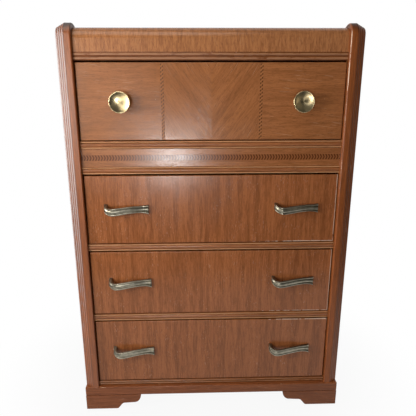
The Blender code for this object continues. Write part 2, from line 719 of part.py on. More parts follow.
def add_pull(name, x, z, slide):
    """Add a strap pull: sections of unlike height lofted along the strap."""
    bm = bmesh.new()
    rings = [[bm.verts.new(place) for place in ring] for ring in pull_sections()]
    for ring, following in zip(rings, rings[1:]):
        for i in range(len(ring)):
            j = (i + 1) % len(ring)
            bm.faces.new((ring[i], ring[j], following[j], following[i]))
    bm.faces.new(rings[0])
    bm.faces.new(rings[-1])
    bmesh.ops.recalc_face_normals(bm, faces=bm.faces)
    mesh = bpy.data.meshes.new(name)
    bm.to_mesh(mesh)
    bm.free()
    mesh.shade_smooth()
    mesh.set_sharp_from_angle(angle=PULL_SHARP_ANGLE)
    pull = add_part(name, mesh, AGED_BRASS, slide)
    pull.location = (x, FACE_Y, z)


def add_drawers():
    """Add the drawers, each on an empty that slides along Y."""
    for number, (floor, height) in enumerate(DRAWER_BAYS, start=1):
        slide = bpy.data.objects.new(f"drawer_{number}_slide", None)
        slide.location = (0.0, FACE_Y, floor)
        PARTS.objects.link(slide)
        front = add_drawer_front(number, floor, height, slide)
        add_drawer_sides(number, floor, height, slide)
        add_drawer_back_and_bottom(number, floor, height, slide)
        middle = floor + DRAWER_GAP_BELOW + height / 2
        if number == 1:
            add_drawer_inlays(front, slide)
        for side, sign in SIDES:
            if number == 1:
                add_knob(f"drawer_1_{side}_knob", sign * HARDWARE_X, middle, slide)
            else:
                add_pull(f"drawer_{number}_{side}_pull", sign * HARDWARE_X, middle + PULL_RAISE, slide)


def build_chest():
    """Build the whole chest."""
    add_posts()
    add_sides_and_back()
    add_top()
    add_rails()
    add_frieze()
    add_runners()
    add_plinth()
    add_feet()
    add_drawers()


build_chest()
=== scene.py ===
"""Looks of a waterfall chest of drawers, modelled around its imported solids.

Metres, +Z up, front towards -Y. The origin is on the floor, under the middle of the chest's box.
"""
from __future__ import annotations

import logging
import math
from dataclasses import dataclass, replace
from enum import Enum
from typing import NamedTuple, Protocol, Sequence

import bmesh
import bpy
from mathutils import Matrix, Vector


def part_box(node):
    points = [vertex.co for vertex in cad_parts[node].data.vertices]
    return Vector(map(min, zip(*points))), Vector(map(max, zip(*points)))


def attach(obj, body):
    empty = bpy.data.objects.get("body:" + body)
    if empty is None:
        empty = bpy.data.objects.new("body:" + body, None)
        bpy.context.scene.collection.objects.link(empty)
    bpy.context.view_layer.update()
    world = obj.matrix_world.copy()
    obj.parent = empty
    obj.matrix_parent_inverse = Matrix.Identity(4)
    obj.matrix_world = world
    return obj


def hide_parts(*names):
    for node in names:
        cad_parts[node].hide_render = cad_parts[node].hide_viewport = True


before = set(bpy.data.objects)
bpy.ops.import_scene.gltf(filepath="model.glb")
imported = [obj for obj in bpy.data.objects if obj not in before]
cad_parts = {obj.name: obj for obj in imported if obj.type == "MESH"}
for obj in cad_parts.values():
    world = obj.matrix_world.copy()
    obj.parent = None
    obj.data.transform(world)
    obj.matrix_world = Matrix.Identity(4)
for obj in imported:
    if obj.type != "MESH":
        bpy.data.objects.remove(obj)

LOG = logging.getLogger("waterfall_chest")

Colour = tuple[float, float, float]
Span = tuple[float, float]
Corner = tuple[float, float]
Socket = bpy.types.NodeSocket

# Steps round an eased edge, along a bead and round the rolled top
EASE_STEPS = 3
BEAD_STEPS = 10
ROLL_STEPS = 28

# How far a bead's crest counts as raised, and the hollow beside it as sunk
BEAD_RELIEF = 0.75

# Angle from which two faces of one piece meet in a sharp edge
SHARP_ANGLE = math.radians(38)

# The least radius that closes a turned shape at its axis
AXIS_RADIUS = 0.0002

# The share of a piece's eased edges that its end edges get
END_EASE = 0.9

# The sharpest corner, as the cosine of half its turn, that is drawn in by the full distance
SHARPEST_CORNER = 0.5

# The body that the fixed pieces ride on, and the drawers' numbers from the top down
CASE = "case"
TOP_DRAWER = 1
BOTTOM_DRAWER = 4
DRAWERS = range(TOP_DRAWER, BOTTOM_DRAWER + 1)


class Slot(Enum):
    """Material slots."""

    CASE_WOOD = "case_wood"
    FACE_VENEER = "face_veneer"
    INLAY_BANDING = "inlay_banding"
    BOX_WOOD = "box_wood"
    AGED_BRASS = "aged_brass"


class Axis(Enum):
    """An axis of the chest, with the order in which it, and then the other two, make a place."""

    X = (0, 1, 2)
    Y = (1, 0, 2)
    Z = (2, 0, 1)


class Side(Enum):
    """The chest's left and right, as seen from the front."""

    LEFT = -1
    RIGHT = 1

    @property
    def word(self) -> str:
        """The side's name as it stands in the names of pieces."""
        return self.name.lower()

    def ends(self, low: Vector, high: Vector) -> Span:
        """Return where a box on this side ends along X: towards the chest's middle, and away from it."""
        return (low.x, high.x) if self is Side.RIGHT else (high.x, low.x)


class End(Enum):
    """The chest's front and rear, with the way in from each along Y."""

    FRONT = 1
    REAR = -1

    @property
    def word(self) -> str:
        """The end's name as it stands in the names of pieces."""
        return self.name.lower()


class Dot(NamedTuple):
    """A point of a flat outline, with its relief: 1 on an edge or a crest, -1 in a hollow."""

    across: float
    up: float
    relief: float = 0.0


class Mark(NamedTuple):
    """A point of a mesh ring: its place, its place in the wood, and its relief."""

    place: Vector
    grain: Vector
    relief: float = 0.0


# Grain

class GrainMap(Protocol):
    """Anything that says where a place of a piece lies in its wood."""

    def at(self, place: Vector) -> Vector:
        """Return the place across, through and along the grain."""


@dataclass(frozen=True)
class StraightGrain:
    """Grain that runs along one axis of the chest, from its own spot in the timber."""

    axis: Axis
    spot: Vector

    def at(self, place: Vector) -> Vector:
        """Return the place across, through and along the grain."""
        along, through, across = self.axis.value
        return Vector((place[across], place[through], place[along])) + self.spot


@dataclass(frozen=True)
class MatchedGrain:
    """Level grain at both ends of a front, and a book-matched panel between them."""

    level: StraightGrain
    half_panel: float
    slope: float

    def at(self, place: Vector) -> Vector:
        """Return the place across, through and along the grain.

        Args:
            place: A place of the front.

        Returns:
            Its place in the wood, which has another spot inside the panel.
        """
        if abs(place.x) > self.half_panel:
            return self.level.at(place)
        sine, cosine = math.sin(self.slope), math.cos(self.slope)
        out = abs(place.x)
        across = out * sine - place.z * cosine
        along = out * cosine + place.z * sine
        return Vector((across, place.y, along)) + self.level.spot * 2


class Timber:
    """The stock that boards are cut from, each at another spot, so that no two look the same."""

    STRIDE = Vector((0.731, 0.417, 1.293))

    def __init__(self) -> None:
        """Start at the first spot."""
        self.taken = 0

    def spot(self) -> Vector:
        """Return the next spot."""
        self.taken += 1
        return self.STRIDE * self.taken

    def along(self, axis: Axis) -> StraightGrain:
        """Return the grain of a board that runs along an axis."""
        return StraightGrain(axis, self.spot())


TIMBER = Timber()


# Outlines and meshes

def soften(corners: Sequence[Corner], radius: float) -> list[Dot]:
    """Round the corners of an outline.

    Args:
        corners: The outline's corners, in order.
        radius: The radius of the rounded corners.

    Returns:
        The outline's points, with relief on the corners that stand out and in those that lie in.
    """
    points = [Vector(corner) for corner in corners]
    area = sum(a.cross(b) for a, b in zip(points, points[1:] + points[:1]))
    dots = []
    for before, corner, after in zip(points[-1:] + points[:-1], points, points[1:] + points[:1]):
        back, ahead = (before - corner).normalized(), (after - corner).normalized()
        half = back.angle(ahead) / 2
        stands_out = math.copysign(1.0, ahead.cross(back) * area)
        middle = corner + (back + ahead).normalized() * (radius / math.sin(half))
        start, end = corner + back * (radius / math.tan(half)), corner + ahead * (radius / math.tan(half))
        turn = math.pi - 2 * half
        for i in range(EASE_STEPS + 1):
            share = i / EASE_STEPS
            arm = (start - middle) * math.sin((1 - share) * turn) + (end - middle) * math.sin(share * turn)
            place = middle + arm / math.sin(turn)
            dots.append(Dot(place.x, place.y, stands_out * math.sin(math.pi * share)))
    return dots


def rectangle(across: Span, up: Span) -> list[Corner]:
    """Return the corners of a rectangle."""
    return [(across[0], up[0]), (across[1], up[0]), (across[1], up[1]), (across[0], up[1])]


def quarter_round(radius: float, steps: int) -> list[Dot]:
    """Draw a rounded edge.

    Args:
        radius: The edge's radius.
        steps: How many steps go round it.

    Returns:
        Its points, in from both its faces, with relief on its middle.
    """
    dots = []
    for i in range(steps + 1):
        turn = math.pi / 2 * i / steps
        dots.append(Dot(radius * (1 - math.cos(turn)), radius * (1 - math.sin(turn)), math.sin(2 * turn)))
    return dots


def beads(start: Corner, end: Corner, shares: Sequence[float], height: float) -> list[Dot]:
    """Lay a row of round beads along a line.

    Args:
        start: Where the row starts.
        end: Where it ends.
        shares: The share of the row that each bead takes.
        height: How far they stand out, to the left of the line.

    Returns:
        The row's points, with the first and last in a hollow.
    """
    run = (Vector(end) - Vector(start)) / sum(shares)
    out = Vector((-run.y, run.x)).normalized() * height
    valley = Vector(start)
    dots = []
    for share in shares:
        for i in range(BEAD_STEPS):
            rise = math.sin(math.pi * i / BEAD_STEPS)
            place = valley + run * share * (i / BEAD_STEPS) + out * math.sqrt(rise)
            dots.append(Dot(place.x, place.y, BEAD_RELIEF * (2 * rise / max(share, 1.0) - 1)))
        valley += run * share
    dots.append(Dot(*end, -BEAD_RELIEF))
    return dots


def inset(outline: Sequence[Dot], distance: float) -> list[Dot]:
    """Draw an outline in by a small distance.

    Args:
        outline: The outline, in order.
        distance: How far its points move inwards.

    Returns:
        The smaller outline.
    """
    points = [Vector((dot.across, dot.up)) for dot in outline]
    pairs = list(zip(points, points[1:] + points[:1]))
    turn = math.copysign(1.0, sum(a.cross(b) for a, b in pairs))
    normals = [Vector((a.y - b.y, b.x - a.x)).normalized() * turn for a, b in pairs]
    dots = []
    for dot, point, before, after in zip(outline, points, normals[-1:] + normals[:-1], normals):
        middle = (before + after).normalized()
        place = point + middle * distance / max(middle.dot(after), SHARPEST_CORNER)
        dots.append(Dot(place.x, place.y, dot.relief))
    return dots


class Shell:
    """Closed lofts gathered into one piece."""

    def __init__(self) -> None:
        """Start with nothing."""
        self.marks: list[Mark] = []
        self.faces: list[tuple[int, ...]] = []

    def loft(self, rings: Sequence[Sequence[Mark]]) -> Shell:
        """Join rings of the same length, and close the first and the last.

        Args:
            rings: The rings, in order.

        Returns:
            The shell itself.
        """
        start, count = len(self.marks), len(rings[0])
        for row, ring in enumerate(rings):
            base = start + row * count
            self.marks.extend(ring)
            if row:
                for i in range(count):
                    j = (i + 1) % count
                    self.faces.append((base - count + i, base - count + j, base + j, base + i))
        self.faces.append(tuple(range(start, start + count)))
        self.faces.append(tuple(range(base, base + count)))
        return self

    def prism(self, outline: Sequence[Dot], axis: Axis, span: Span, grain: GrainMap, ease: float,
              cuts: Sequence[float] = ()) -> Shell:
        """Extrude an outline along an axis, with its end edges eased.

        Args:
            outline: The section, in the two other axes of the chest.
            axis: The axis that it is extruded along.
            span: Where the piece starts and ends on that axis.
            grain: How the wood lies.
            ease: The radius of the end edges.
            cuts: Places between the ends that get a ring of their own.

        Returns:
            The shell itself.
        """
        edge = quarter_round(ease, EASE_STEPS)
        rows = [(span[0] + step, draw, relief) for step, draw, relief in edge]
        rows += [(cut, 0.0, 0.0) for cut in sorted(cuts)]
        rows += [(span[1] - step, draw, relief) for step, draw, relief in reversed(edge)]
        order = axis.value
        rings = []
        for run, draw, relief in rows:
            ring = []
            for dot in inset(outline, draw):
                place = Vector((0.0, 0.0, 0.0))
                place[order[0]], place[order[1]], place[order[2]] = run, dot.across, dot.up
                ring.append(Mark(place, grain.at(place), max(dot.relief, relief) if relief else dot.relief))
            rings.append(ring)
        return self.loft(rings)

    def turned(self, profile: Sequence[Dot], centre: Vector, outward: float, steps: int) -> Shell:
        """Turn a profile about a line along Y.

        Args:
            profile: Radius and height of its points, from one end to the other.
            centre: Where the line starts.
            outward: 1 to rise towards +Y, -1 to rise towards -Y.
            steps: How many sides the turned shape has.

        Returns:
            The shell itself.
        """
        rings = []
        for dot in profile:
            ring = []
            for i in range(steps):
                angle = 2 * math.pi * i / steps
                radius = max(dot.across, AXIS_RADIUS)
                arm = Vector((radius * math.cos(angle), outward * dot.up, radius * math.sin(angle)))
                ring.append(Mark(centre + arm, arm, dot.relief))
            rings.append(ring)
        return self.loft(rings)

    def piece(self, name: str, material: bpy.types.Material) -> bpy.types.Object:
        """Make the gathered lofts into a mesh object.

        Args:
            name: The piece's name.
            material: Its finish.

        Returns:
            The new object.
        """
        mesh = bpy.data.meshes.new(name)
        mesh.from_pydata([mark.place for mark in self.marks], [], self.faces)
        bm = bmesh.new()
        bm.from_mesh(mesh)
        bmesh.ops.recalc_face_normals(bm, faces=bm.faces)
        bm.to_mesh(mesh)
        bm.free()
        grain = mesh.attributes.new("grain", "FLOAT_VECTOR", "POINT")
        grain.data.foreach_set("vector", [value for mark in self.marks for value in mark.grain])
        relief = mesh.attributes.new("relief", "FLOAT", "POINT")
        relief.data.foreach_set("value", [mark.relief for mark in self.marks])
        mesh.shade_smooth()
        mesh.set_sharp_from_angle(angle=SHARP_ANGLE)
        mesh.materials.append(material)
        obj = bpy.data.objects.new(name, mesh)
        bpy.context.scene.collection.objects.link(obj)
        flat = obj.modifiers.new("flat_faces", "WEIGHTED_NORMAL")
        flat.keep_sharp = True
        return obj


def board(low: Vector, high: Vector, grain: GrainMap, ease: float, cuts: Sequence[float] = ()) -> Shell:
    """Return a board between two corners, with all its edges eased."""
    outline = soften(rectangle((low.y, high.y), (low.z, high.z)), ease)
    return Shell().prism(outline, Axis.X, (low.x, high.x), grain, ease * END_EASE, cuts)


def seat(piece: bpy.types.Object, body: str, slot: Slot, node: str | None = None) -> None:
    """Let a piece ride on a body, in place of a solid if it has one, and report it.

    Args:
        piece: The piece.
        body: The body that it moves with.
        slot: Not used.
        node: The solid that it stands for.
    """
    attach(piece, body)
    if node is not None:
        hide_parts(node)
    LOG.info("%s rides on %s", piece.name, body)


def finish(shell: Shell, node: str, body: str, slot: Slot, material: bpy.types.Material) -> None:
    """Make a shell into the finished piece that stands for a solid, and seat it."""
    seat(shell.piece(f"{node}_finished", material), body, slot, node)


@dataclass(frozen=True)
class RollPath:
    """The line that a rolled piece follows: up, round the roll, down from its crest if any, and back."""

    front: float
    low: float
    top: float
    back: float
    radius: float
    crest: float = 0.0
    crest_fall: float = 0.0

    def stations(self) -> list[tuple[Vector, Vector, float]]:
        """Walk along the line.

        Returns:
            Places in (Y, Z), the way in from each, and the length run so far.
        """
        rise = self.top - self.radius - self.low
        middle = Vector((self.front + self.radius, self.top - self.radius))
        made = [(Vector((self.front, self.low)), Vector((1.0, 0.0)), 0.0)]
        for i in range(ROLL_STEPS + 1):
            angle = math.pi / 2 * i / ROLL_STEPS
            inward = Vector((math.cos(angle), -math.sin(angle)))
            made.append((middle - inward * self.radius, inward, rise + self.radius * angle))
        rolled = made[-1][2] - middle.x
        for i in range(1, ROLL_STEPS + 1) if self.crest else ():
            turn = math.pi * i / ROLL_STEPS
            place = Vector((middle.x + self.crest_fall * turn / math.pi, self.top))
            place.y -= self.crest * (1 - math.cos(turn)) / 2
            slope = self.crest / self.crest_fall * math.pi / 2 * math.sin(turn)
            made.append((place, Vector((-slope, -1.0)).normalized(), rolled + place.x))
        made.append((Vector((self.back, self.top - self.crest)), Vector((0.0, -1.0)), rolled + self.back))
        return made

    def sweep(self, section: Sequence[Dot], spot: Vector) -> Shell:
        """Sweep a section along the line.

        Args:
            section: Places along X, and in from the line.
            spot: The piece's spot in the timber.

        Returns:
            The swept shell.
        """
        rings = []
        for point, inward, run in self.stations():
            ring = []
            for dot in section:
                place = point + inward * dot.up
                grain = Vector((dot.across, dot.up, run)) + spot
                ring.append(Mark(Vector((dot.across, place.x, place.y)), grain, dot.relief))
            rings.append(ring)
        return Shell().loft(rings)


# Shader nodes

class NodeSheet:
    """Short ways to add and link the nodes of one tree."""

    # Sockets of a Mix node that take and give colours
    FIRST_COLOUR = 6
    SECOND_COLOUR = 7
    MIXED_COLOUR = 2

    def __init__(self, tree: bpy.types.NodeTree) -> None:
        """Keep the tree."""
        self.tree = tree

    def add(self, kind: str, inputs: dict[str | int, object], **settings: object) -> bpy.types.Node:
        """Add a node.

        Args:
            kind: The node's type, after ShaderNode.
            inputs: What its sockets take: an output that feeds them, or a value.
            settings: The node's own settings.

        Returns:
            The new node.
        """
        node = self.tree.nodes.new("ShaderNode" + kind)
        for name, value in settings.items():
            setattr(node, name, value)
        for key, value in inputs.items():
            self.feed(node.inputs[key], value)
        return node

    def feed(self, socket: Socket, value: object) -> None:
        """Link an output to a socket, or set the socket's value.

        Args:
            socket: The socket.
            value: What it takes: an output that feeds it, or a value.
        """
        if isinstance(value, Socket):
            self.tree.links.new(value, socket)
        elif socket.type == "RGBA" and len(value) == 3:
            socket.default_value = (*value, 1.0)
        else:
            socket.default_value = value

    def math(self, operation: str, *values: object) -> Socket:
        """Return the result of a sum on numbers."""
        return self.add("Math", dict(enumerate(values)), operation=operation).outputs[0]

    def vector(self, operation: str, *values: object) -> Socket:
        """Return the result of a sum on vectors."""
        outputs = self.add("VectorMath", dict(enumerate(values)), operation=operation).outputs
        return outputs["Value" if operation == "LENGTH" else "Vector"]

    def parts(self, vector: Socket) -> tuple[Socket, Socket, Socket]:
        """Return a vector's three numbers."""
        return tuple(self.add("SeparateXYZ", {0: vector}).outputs)

    def join(self, x: object, y: object, z: object) -> Socket:
        """Return a vector made of three numbers."""
        return self.add("CombineXYZ", {0: x, 1: y, 2: z}).outputs[0]

    def noise(self, place: Socket, size: object, detail: float, roughness: float = 0.5) -> Socket:
        """Add soft noise.

        Args:
            place: The place in the wood.
            size: The size of a lump across, through and along the grain.
            detail: How many finer layers lie over the lumps.
            roughness: How strong the finer layers are.

        Returns:
            The noise's value.
        """
        scaled = self.vector("DIVIDE", place, size)
        inputs = {"Vector": scaled, "Scale": 1.0, "Detail": detail, "Roughness": roughness}
        return self.add("TexNoise", inputs).outputs[0]

    def ramp(self, value: Socket, low: object, high: object) -> Socket:
        """Return 0 where a value is at low, 1 where it is at high, and a smooth step between."""
        inputs = {0: value, 1: low, 2: high}
        return self.add("MapRange", inputs, interpolation_type="SMOOTHSTEP").outputs[0]

    def blend(self, share: object, first: object, second: object) -> Socket:
        """Return a mix of two colours."""
        inputs = {0: share, self.FIRST_COLOUR: first, self.SECOND_COLOUR: second}
        return self.add("Mix", inputs, data_type="RGBA").outputs[self.MIXED_COLOUR]

    def attribute(self, name: str, output: str) -> Socket:
        """Return an attribute of the mesh."""
        return self.add("Attribute", {}, attribute_name=name).outputs[output]

    def group(self, tree: bpy.types.NodeTree, inputs: dict[str, object]) -> bpy.types.NodeOutputs:
        """Return the outputs of a node group placed in this tree."""
        return self.add("Group", inputs, node_tree=tree).outputs


class EffectSheet(NodeSheet):
    """The inside of a shader node group that takes the grain and some numbers."""

    def __init__(self, name: str, *numbers: str) -> None:
        """Make the group and its inputs.

        Args:
            name: The group's name.
            numbers: The names of the numbers that it takes.
        """
        super().__init__(bpy.data.node_groups.new(name, "ShaderNodeTree"))
        self.tree.interface.new_socket("Grain", in_out="INPUT", socket_type="NodeSocketVector")
        for label in numbers:
            self.tree.interface.new_socket(label, in_out="INPUT", socket_type="NodeSocketFloat")
        self.inputs = self.tree.nodes.new("NodeGroupInput").outputs

    def give(self, **values: Socket) -> bpy.types.NodeTree:
        """Close the group with its outputs.

        Args:
            values: What the group gives, under the names of its outputs.

        Returns:
            The group's tree.
        """
        for label in values:
            self.tree.interface.new_socket(label, in_out="OUTPUT", socket_type="NodeSocketFloat")
        end = self.tree.nodes.new("NodeGroupOutput")
        for label, value in values.items():
            self.tree.links.new(value, end.inputs[label])
        return self.tree


class Effects:
    """The effects that more than one finish uses, each a node group that is built once."""

    # Sizes across, through and along the grain
    SWAY_SIZE = (0.045, 0.045, 0.16)
    PORE_SIZE = (0.0008, 0.0008, 0.009)
    PATCH_SIZE = (0.012, 0.012, 0.030)
    HAZE_SIZE = (0.05, 0.05, 0.08)
    SCRATCH_SIZE = (0.0011, 0.0011, 0.045)
    # Detail of the noise
    STREAK_DETAIL = 3.0
    BAND_DETAIL = 2.0
    SWAY_DETAIL = 1.0
    CLOUD_DETAIL = 3.0
    CLOUD_ROUGHNESS = 0.6
    # Where noise starts to count as a pore or a scratch, and where it is wholly one
    PORE_EDGE = (0.60, 0.72)
    SCRATCH_EDGE = (0.74, 0.80)
    SCRATCHED_HAZE = (0.45, 0.60)
    SCRATCH_LEAN = 0.12
    # The relief from which sound wood turns pale, as scuffing and on some finishes as painted highlight,
    # how far the amount of it lowers that relief, and the edge of a pale patch
    SOUND_RELIEF = 0.72
    PALENESS_EFFECT = -0.35
    PALE_EDGE = 0.12
    # Soiling, and on some finishes painted shade, that lies in every hollow, and the depths between which
    # it thickens
    DARK_HOLLOW_SHARE = 0.45
    DARK_HOLLOW_EDGE = (0.05, 0.9)
    # Spacing of dents, and their rim in shares of it
    DENT_SPACING = 0.032
    DENT_EDGE = (0.02, 0.045)

    def __init__(self) -> None:
        """Build the groups."""
        self.figure = self.wood_figure()
        self.wear_and_painted_light = self.edge_ageing()
        self.marks = self.surface_marks()

    def wood_figure(self) -> bpy.types.NodeTree:
        """Build a wood's figure.

        Returns:
            The group that gives the streaks, bands and pores along the grain.
        """
        numbers = ("Streak Width", "Streak Length", "Band Width", "Band Length", "Sway")
        sheet = EffectSheet("wood_figure", *numbers)
        grain = sheet.inputs["Grain"]
        wander = sheet.noise(grain, self.SWAY_SIZE, self.SWAY_DETAIL)
        shift = sheet.math("MULTIPLY", sheet.math("SUBTRACT", wander, 0.5), sheet.inputs["Sway"])
        swayed = sheet.vector("ADD", grain, sheet.join(shift, shift, 0.0))
        lumps = []
        for name, detail in (("Streak", self.STREAK_DETAIL), ("Band", self.BAND_DETAIL)):
            width, length = sheet.inputs[f"{name} Width"], sheet.inputs[f"{name} Length"]
            lumps.append(sheet.noise(swayed, sheet.join(width, width, length), detail))
        pores = sheet.ramp(sheet.noise(swayed, self.PORE_SIZE, 0.0), *self.PORE_EDGE)
        return sheet.give(Streaks=lumps[0], Bands=lumps[1], Pores=pores)

    def edge_ageing(self) -> bpy.types.NodeTree:
        """Build the paleness of edges and the darkening of hollows.

        Returns:
            The group that gives where edges turn pale and where hollows turn dark: scuffing and soiling,
            and on some finishes painted highlight and painted shade.
        """
        sheet = EffectSheet("edge_ageing", "Relief", "Wear", "Grime")
        grain, relief = sheet.inputs["Grain"], sheet.inputs["Relief"]
        patches = sheet.noise(grain, self.PATCH_SIZE, self.CLOUD_DETAIL, self.CLOUD_ROUGHNESS)
        crest = sheet.math("MULTIPLY", sheet.math("MAXIMUM", relief, 0.0), patches)
        least = sheet.math("MULTIPLY_ADD", sheet.inputs["Wear"], self.PALENESS_EFFECT, self.SOUND_RELIEF)
        worn = sheet.ramp(crest, least, sheet.math("ADD", least, self.PALE_EDGE))
        hollow = sheet.math("MAXIMUM", sheet.math("MULTIPLY", relief, -1.0), 0.0)
        thick = sheet.math("MULTIPLY", hollow, sheet.math("ADD", patches, self.DARK_HOLLOW_SHARE))
        dirt_and_shade = sheet.math("MULTIPLY", sheet.ramp(thick, *self.DARK_HOLLOW_EDGE), sheet.inputs["Grime"])
        return sheet.give(Wear=worn, Grime=dirt_and_shade)

    def surface_marks(self) -> bpy.types.NodeTree:
        """Build the marks of use.

        Returns:
            The group that gives small dents, fine scratches and the cloudiness of an old finish.
        """
        sheet = EffectSheet("surface_marks", "Dents")
        grain = sheet.inputs["Grain"]
        across, through, along = sheet.parts(grain)
        cells = sheet.add("TexVoronoi", {"Vector": grain, "Scale": 1 / self.DENT_SPACING})
        chosen = sheet.math("LESS_THAN", sheet.parts(cells.outputs["Color"])[0], sheet.inputs["Dents"])
        near = sheet.math("SUBTRACT", 1.0, sheet.ramp(cells.outputs["Distance"], *self.DENT_EDGE))
        dents = sheet.math("MULTIPLY", near, chosen)
        leaning = sheet.math("MULTIPLY_ADD", along, self.SCRATCH_LEAN, across)
        lines = sheet.noise(sheet.join(leaning, through, along), self.SCRATCH_SIZE, 0.0)
        haze = sheet.noise(grain, self.HAZE_SIZE, self.CLOUD_DETAIL, self.CLOUD_ROUGHNESS)
        scratched = sheet.ramp(haze, *self.SCRATCHED_HAZE)
        scratches = sheet.math("MULTIPLY", sheet.ramp(lines, *self.SCRATCH_EDGE), scratched)
        return sheet.give(Dents=dents, Scratches=scratches, Haze=haze)


class MaterialSheet(NodeSheet):
    """The nodes of a new material, round its Principled shader."""

    def __init__(self, name: str) -> None:
        """Make the material, and read the grain of the mesh that it is put on.

        Args:
            name: The material's name.
        """
        self.material = bpy.data.materials.new(name)
        self.material.use_nodes = True
        super().__init__(self.material.node_tree)
        self.grain = {"Grain": self.attribute("grain", "Vector")}

    def shade(self, inputs: dict[str, object]) -> None:
        """Feed the shader's sockets."""
        for name, value in inputs.items():
            self.feed(self.tree.nodes["Principled BSDF"].inputs[name], value)

    def bump(self, height: Socket, strength: float, distance: float) -> None:
        """Let a height shape the surface."""
        node = self.add("Bump", {"Strength": strength, "Distance": distance, "Height": height})
        self.shade({"Normal": node.outputs[0]})

    def around(self, middle: float, spread: float, share: Socket) -> Socket:
        """Return a number that strays from its middle as a share does from a half."""
        return self.math("MULTIPLY_ADD", share, spread, middle - spread / 2)


@dataclass(frozen=True)
class Figure:
    """How a wood's figure lies: widths across the grain and lengths along it, in metres."""

    streak_width: float
    streak_length: float
    band_width: float
    band_length: float
    sway: float
    band_share: float

    def inputs(self) -> dict[str, object]:
        """Return what the figure's node group takes, apart from the grain."""
        return {
            "Streak Width": self.streak_width,
            "Streak Length": self.streak_length,
            "Band Width": self.band_width,
            "Band Length": self.band_length,
            "Sway": self.sway,
        }


@dataclass(frozen=True)
class WoodFinish:
    """A wood under old varnish."""

    name: str
    dark: Colour
    light: Colour
    figure: Figure
    pore: Colour = (0.05, 0.018, 0.008)
    worn: Colour = (0.52, 0.34, 0.21)
    dirt_and_shade: Colour = (0.035, 0.014, 0.008)
    pore_depth: float = 0.25
    roughness: float = 0.24
    gloss: float = 0.4
    wear: float = 0.5
    grime: float = 0.8
    dents: float = 0.10
    bump: float = 0.14

    # Where dark wood turns to light, and how pale scratches and rubbed edges are; on some finishes those
    # edges are partly painted highlight
    TONE_EDGE = (0.32, 0.68)
    SCRATCH_SHARE = 0.35
    PALE_SHARE = 0.8
    # What haze, pale marks and darkened hollows add to the roughness
    HAZE_ROUGHNESS = 0.16
    PALE_ROUGHNESS = 0.25
    DARK_HOLLOW_ROUGHNESS = 0.2
    # The height of a pore, in streaks, and of a streak, in metres
    PORE_HEIGHT = -0.6
    STREAK_HEIGHT = 0.0004

    def material(self, effects: Effects) -> bpy.types.Material:
        """Build the material.

        Args:
            effects: The node groups that finishes share.

        Returns:
            The new material.
        """
        sheet = MaterialSheet(self.name)
        figure = sheet.group(effects.figure, sheet.grain | self.figure.inputs())
        marks = sheet.group(effects.marks, sheet.grain | {"Dents": self.dents})
        ages = {"Relief": sheet.attribute("relief", "Fac"), "Wear": self.wear, "Grime": self.grime}
        wear_and_painted_light = sheet.group(effects.wear_and_painted_light, sheet.grain | ages)
        share = self.figure.band_share
        streaks = sheet.math("MULTIPLY", figure["Streaks"], 1 - share)
        tone = sheet.math("MULTIPLY_ADD", figure["Bands"], share, streaks)
        colour = sheet.blend(sheet.ramp(tone, *self.TONE_EDGE), self.dark, self.light)
        pores = sheet.math("MULTIPLY", figure["Pores"], self.pore_depth)
        colour = sheet.blend(pores, colour, self.pore)
        # Hollows take the dark colour: soiling, and on some finishes painted shade
        colour = sheet.blend(wear_and_painted_light["Grime"], colour, self.dirt_and_shade)
        # Pale marks take the pale colour: scuffs, dents and scratches, and on some finishes painted
        # highlight and sheen
        scratches = sheet.math("MULTIPLY", marks["Scratches"], self.SCRATCH_SHARE)
        pale_mark = sheet.math("MAXIMUM", sheet.math("MAXIMUM", wear_and_painted_light["Wear"], marks["Dents"]), scratches)
        colour = sheet.blend(sheet.math("MULTIPLY", pale_mark, self.PALE_SHARE), colour, self.worn)
        rough = sheet.around(self.roughness, self.HAZE_ROUGHNESS, marks["Haze"])
        rough = sheet.math("MULTIPLY_ADD", pale_mark, self.PALE_ROUGHNESS, rough)
        rough = sheet.math("MULTIPLY_ADD", wear_and_painted_light["Grime"], self.DARK_HOLLOW_ROUGHNESS, rough)
        sheet.shade({"Base Color": colour, "Roughness": rough, "Specular IOR Level": self.gloss})
        height = sheet.math("MULTIPLY_ADD", figure["Pores"], self.PORE_HEIGHT, figure["Streaks"])
        sheet.bump(sheet.math("SUBTRACT", height, pale_mark), self.bump, self.STREAK_HEIGHT)
        return sheet.material


class Weave(Enum):
    """How the dark slips of a banding lie: all one way, or two ways that meet along its middle."""

    ROPE = "rope"
    HERRINGBONE = "herringbone"


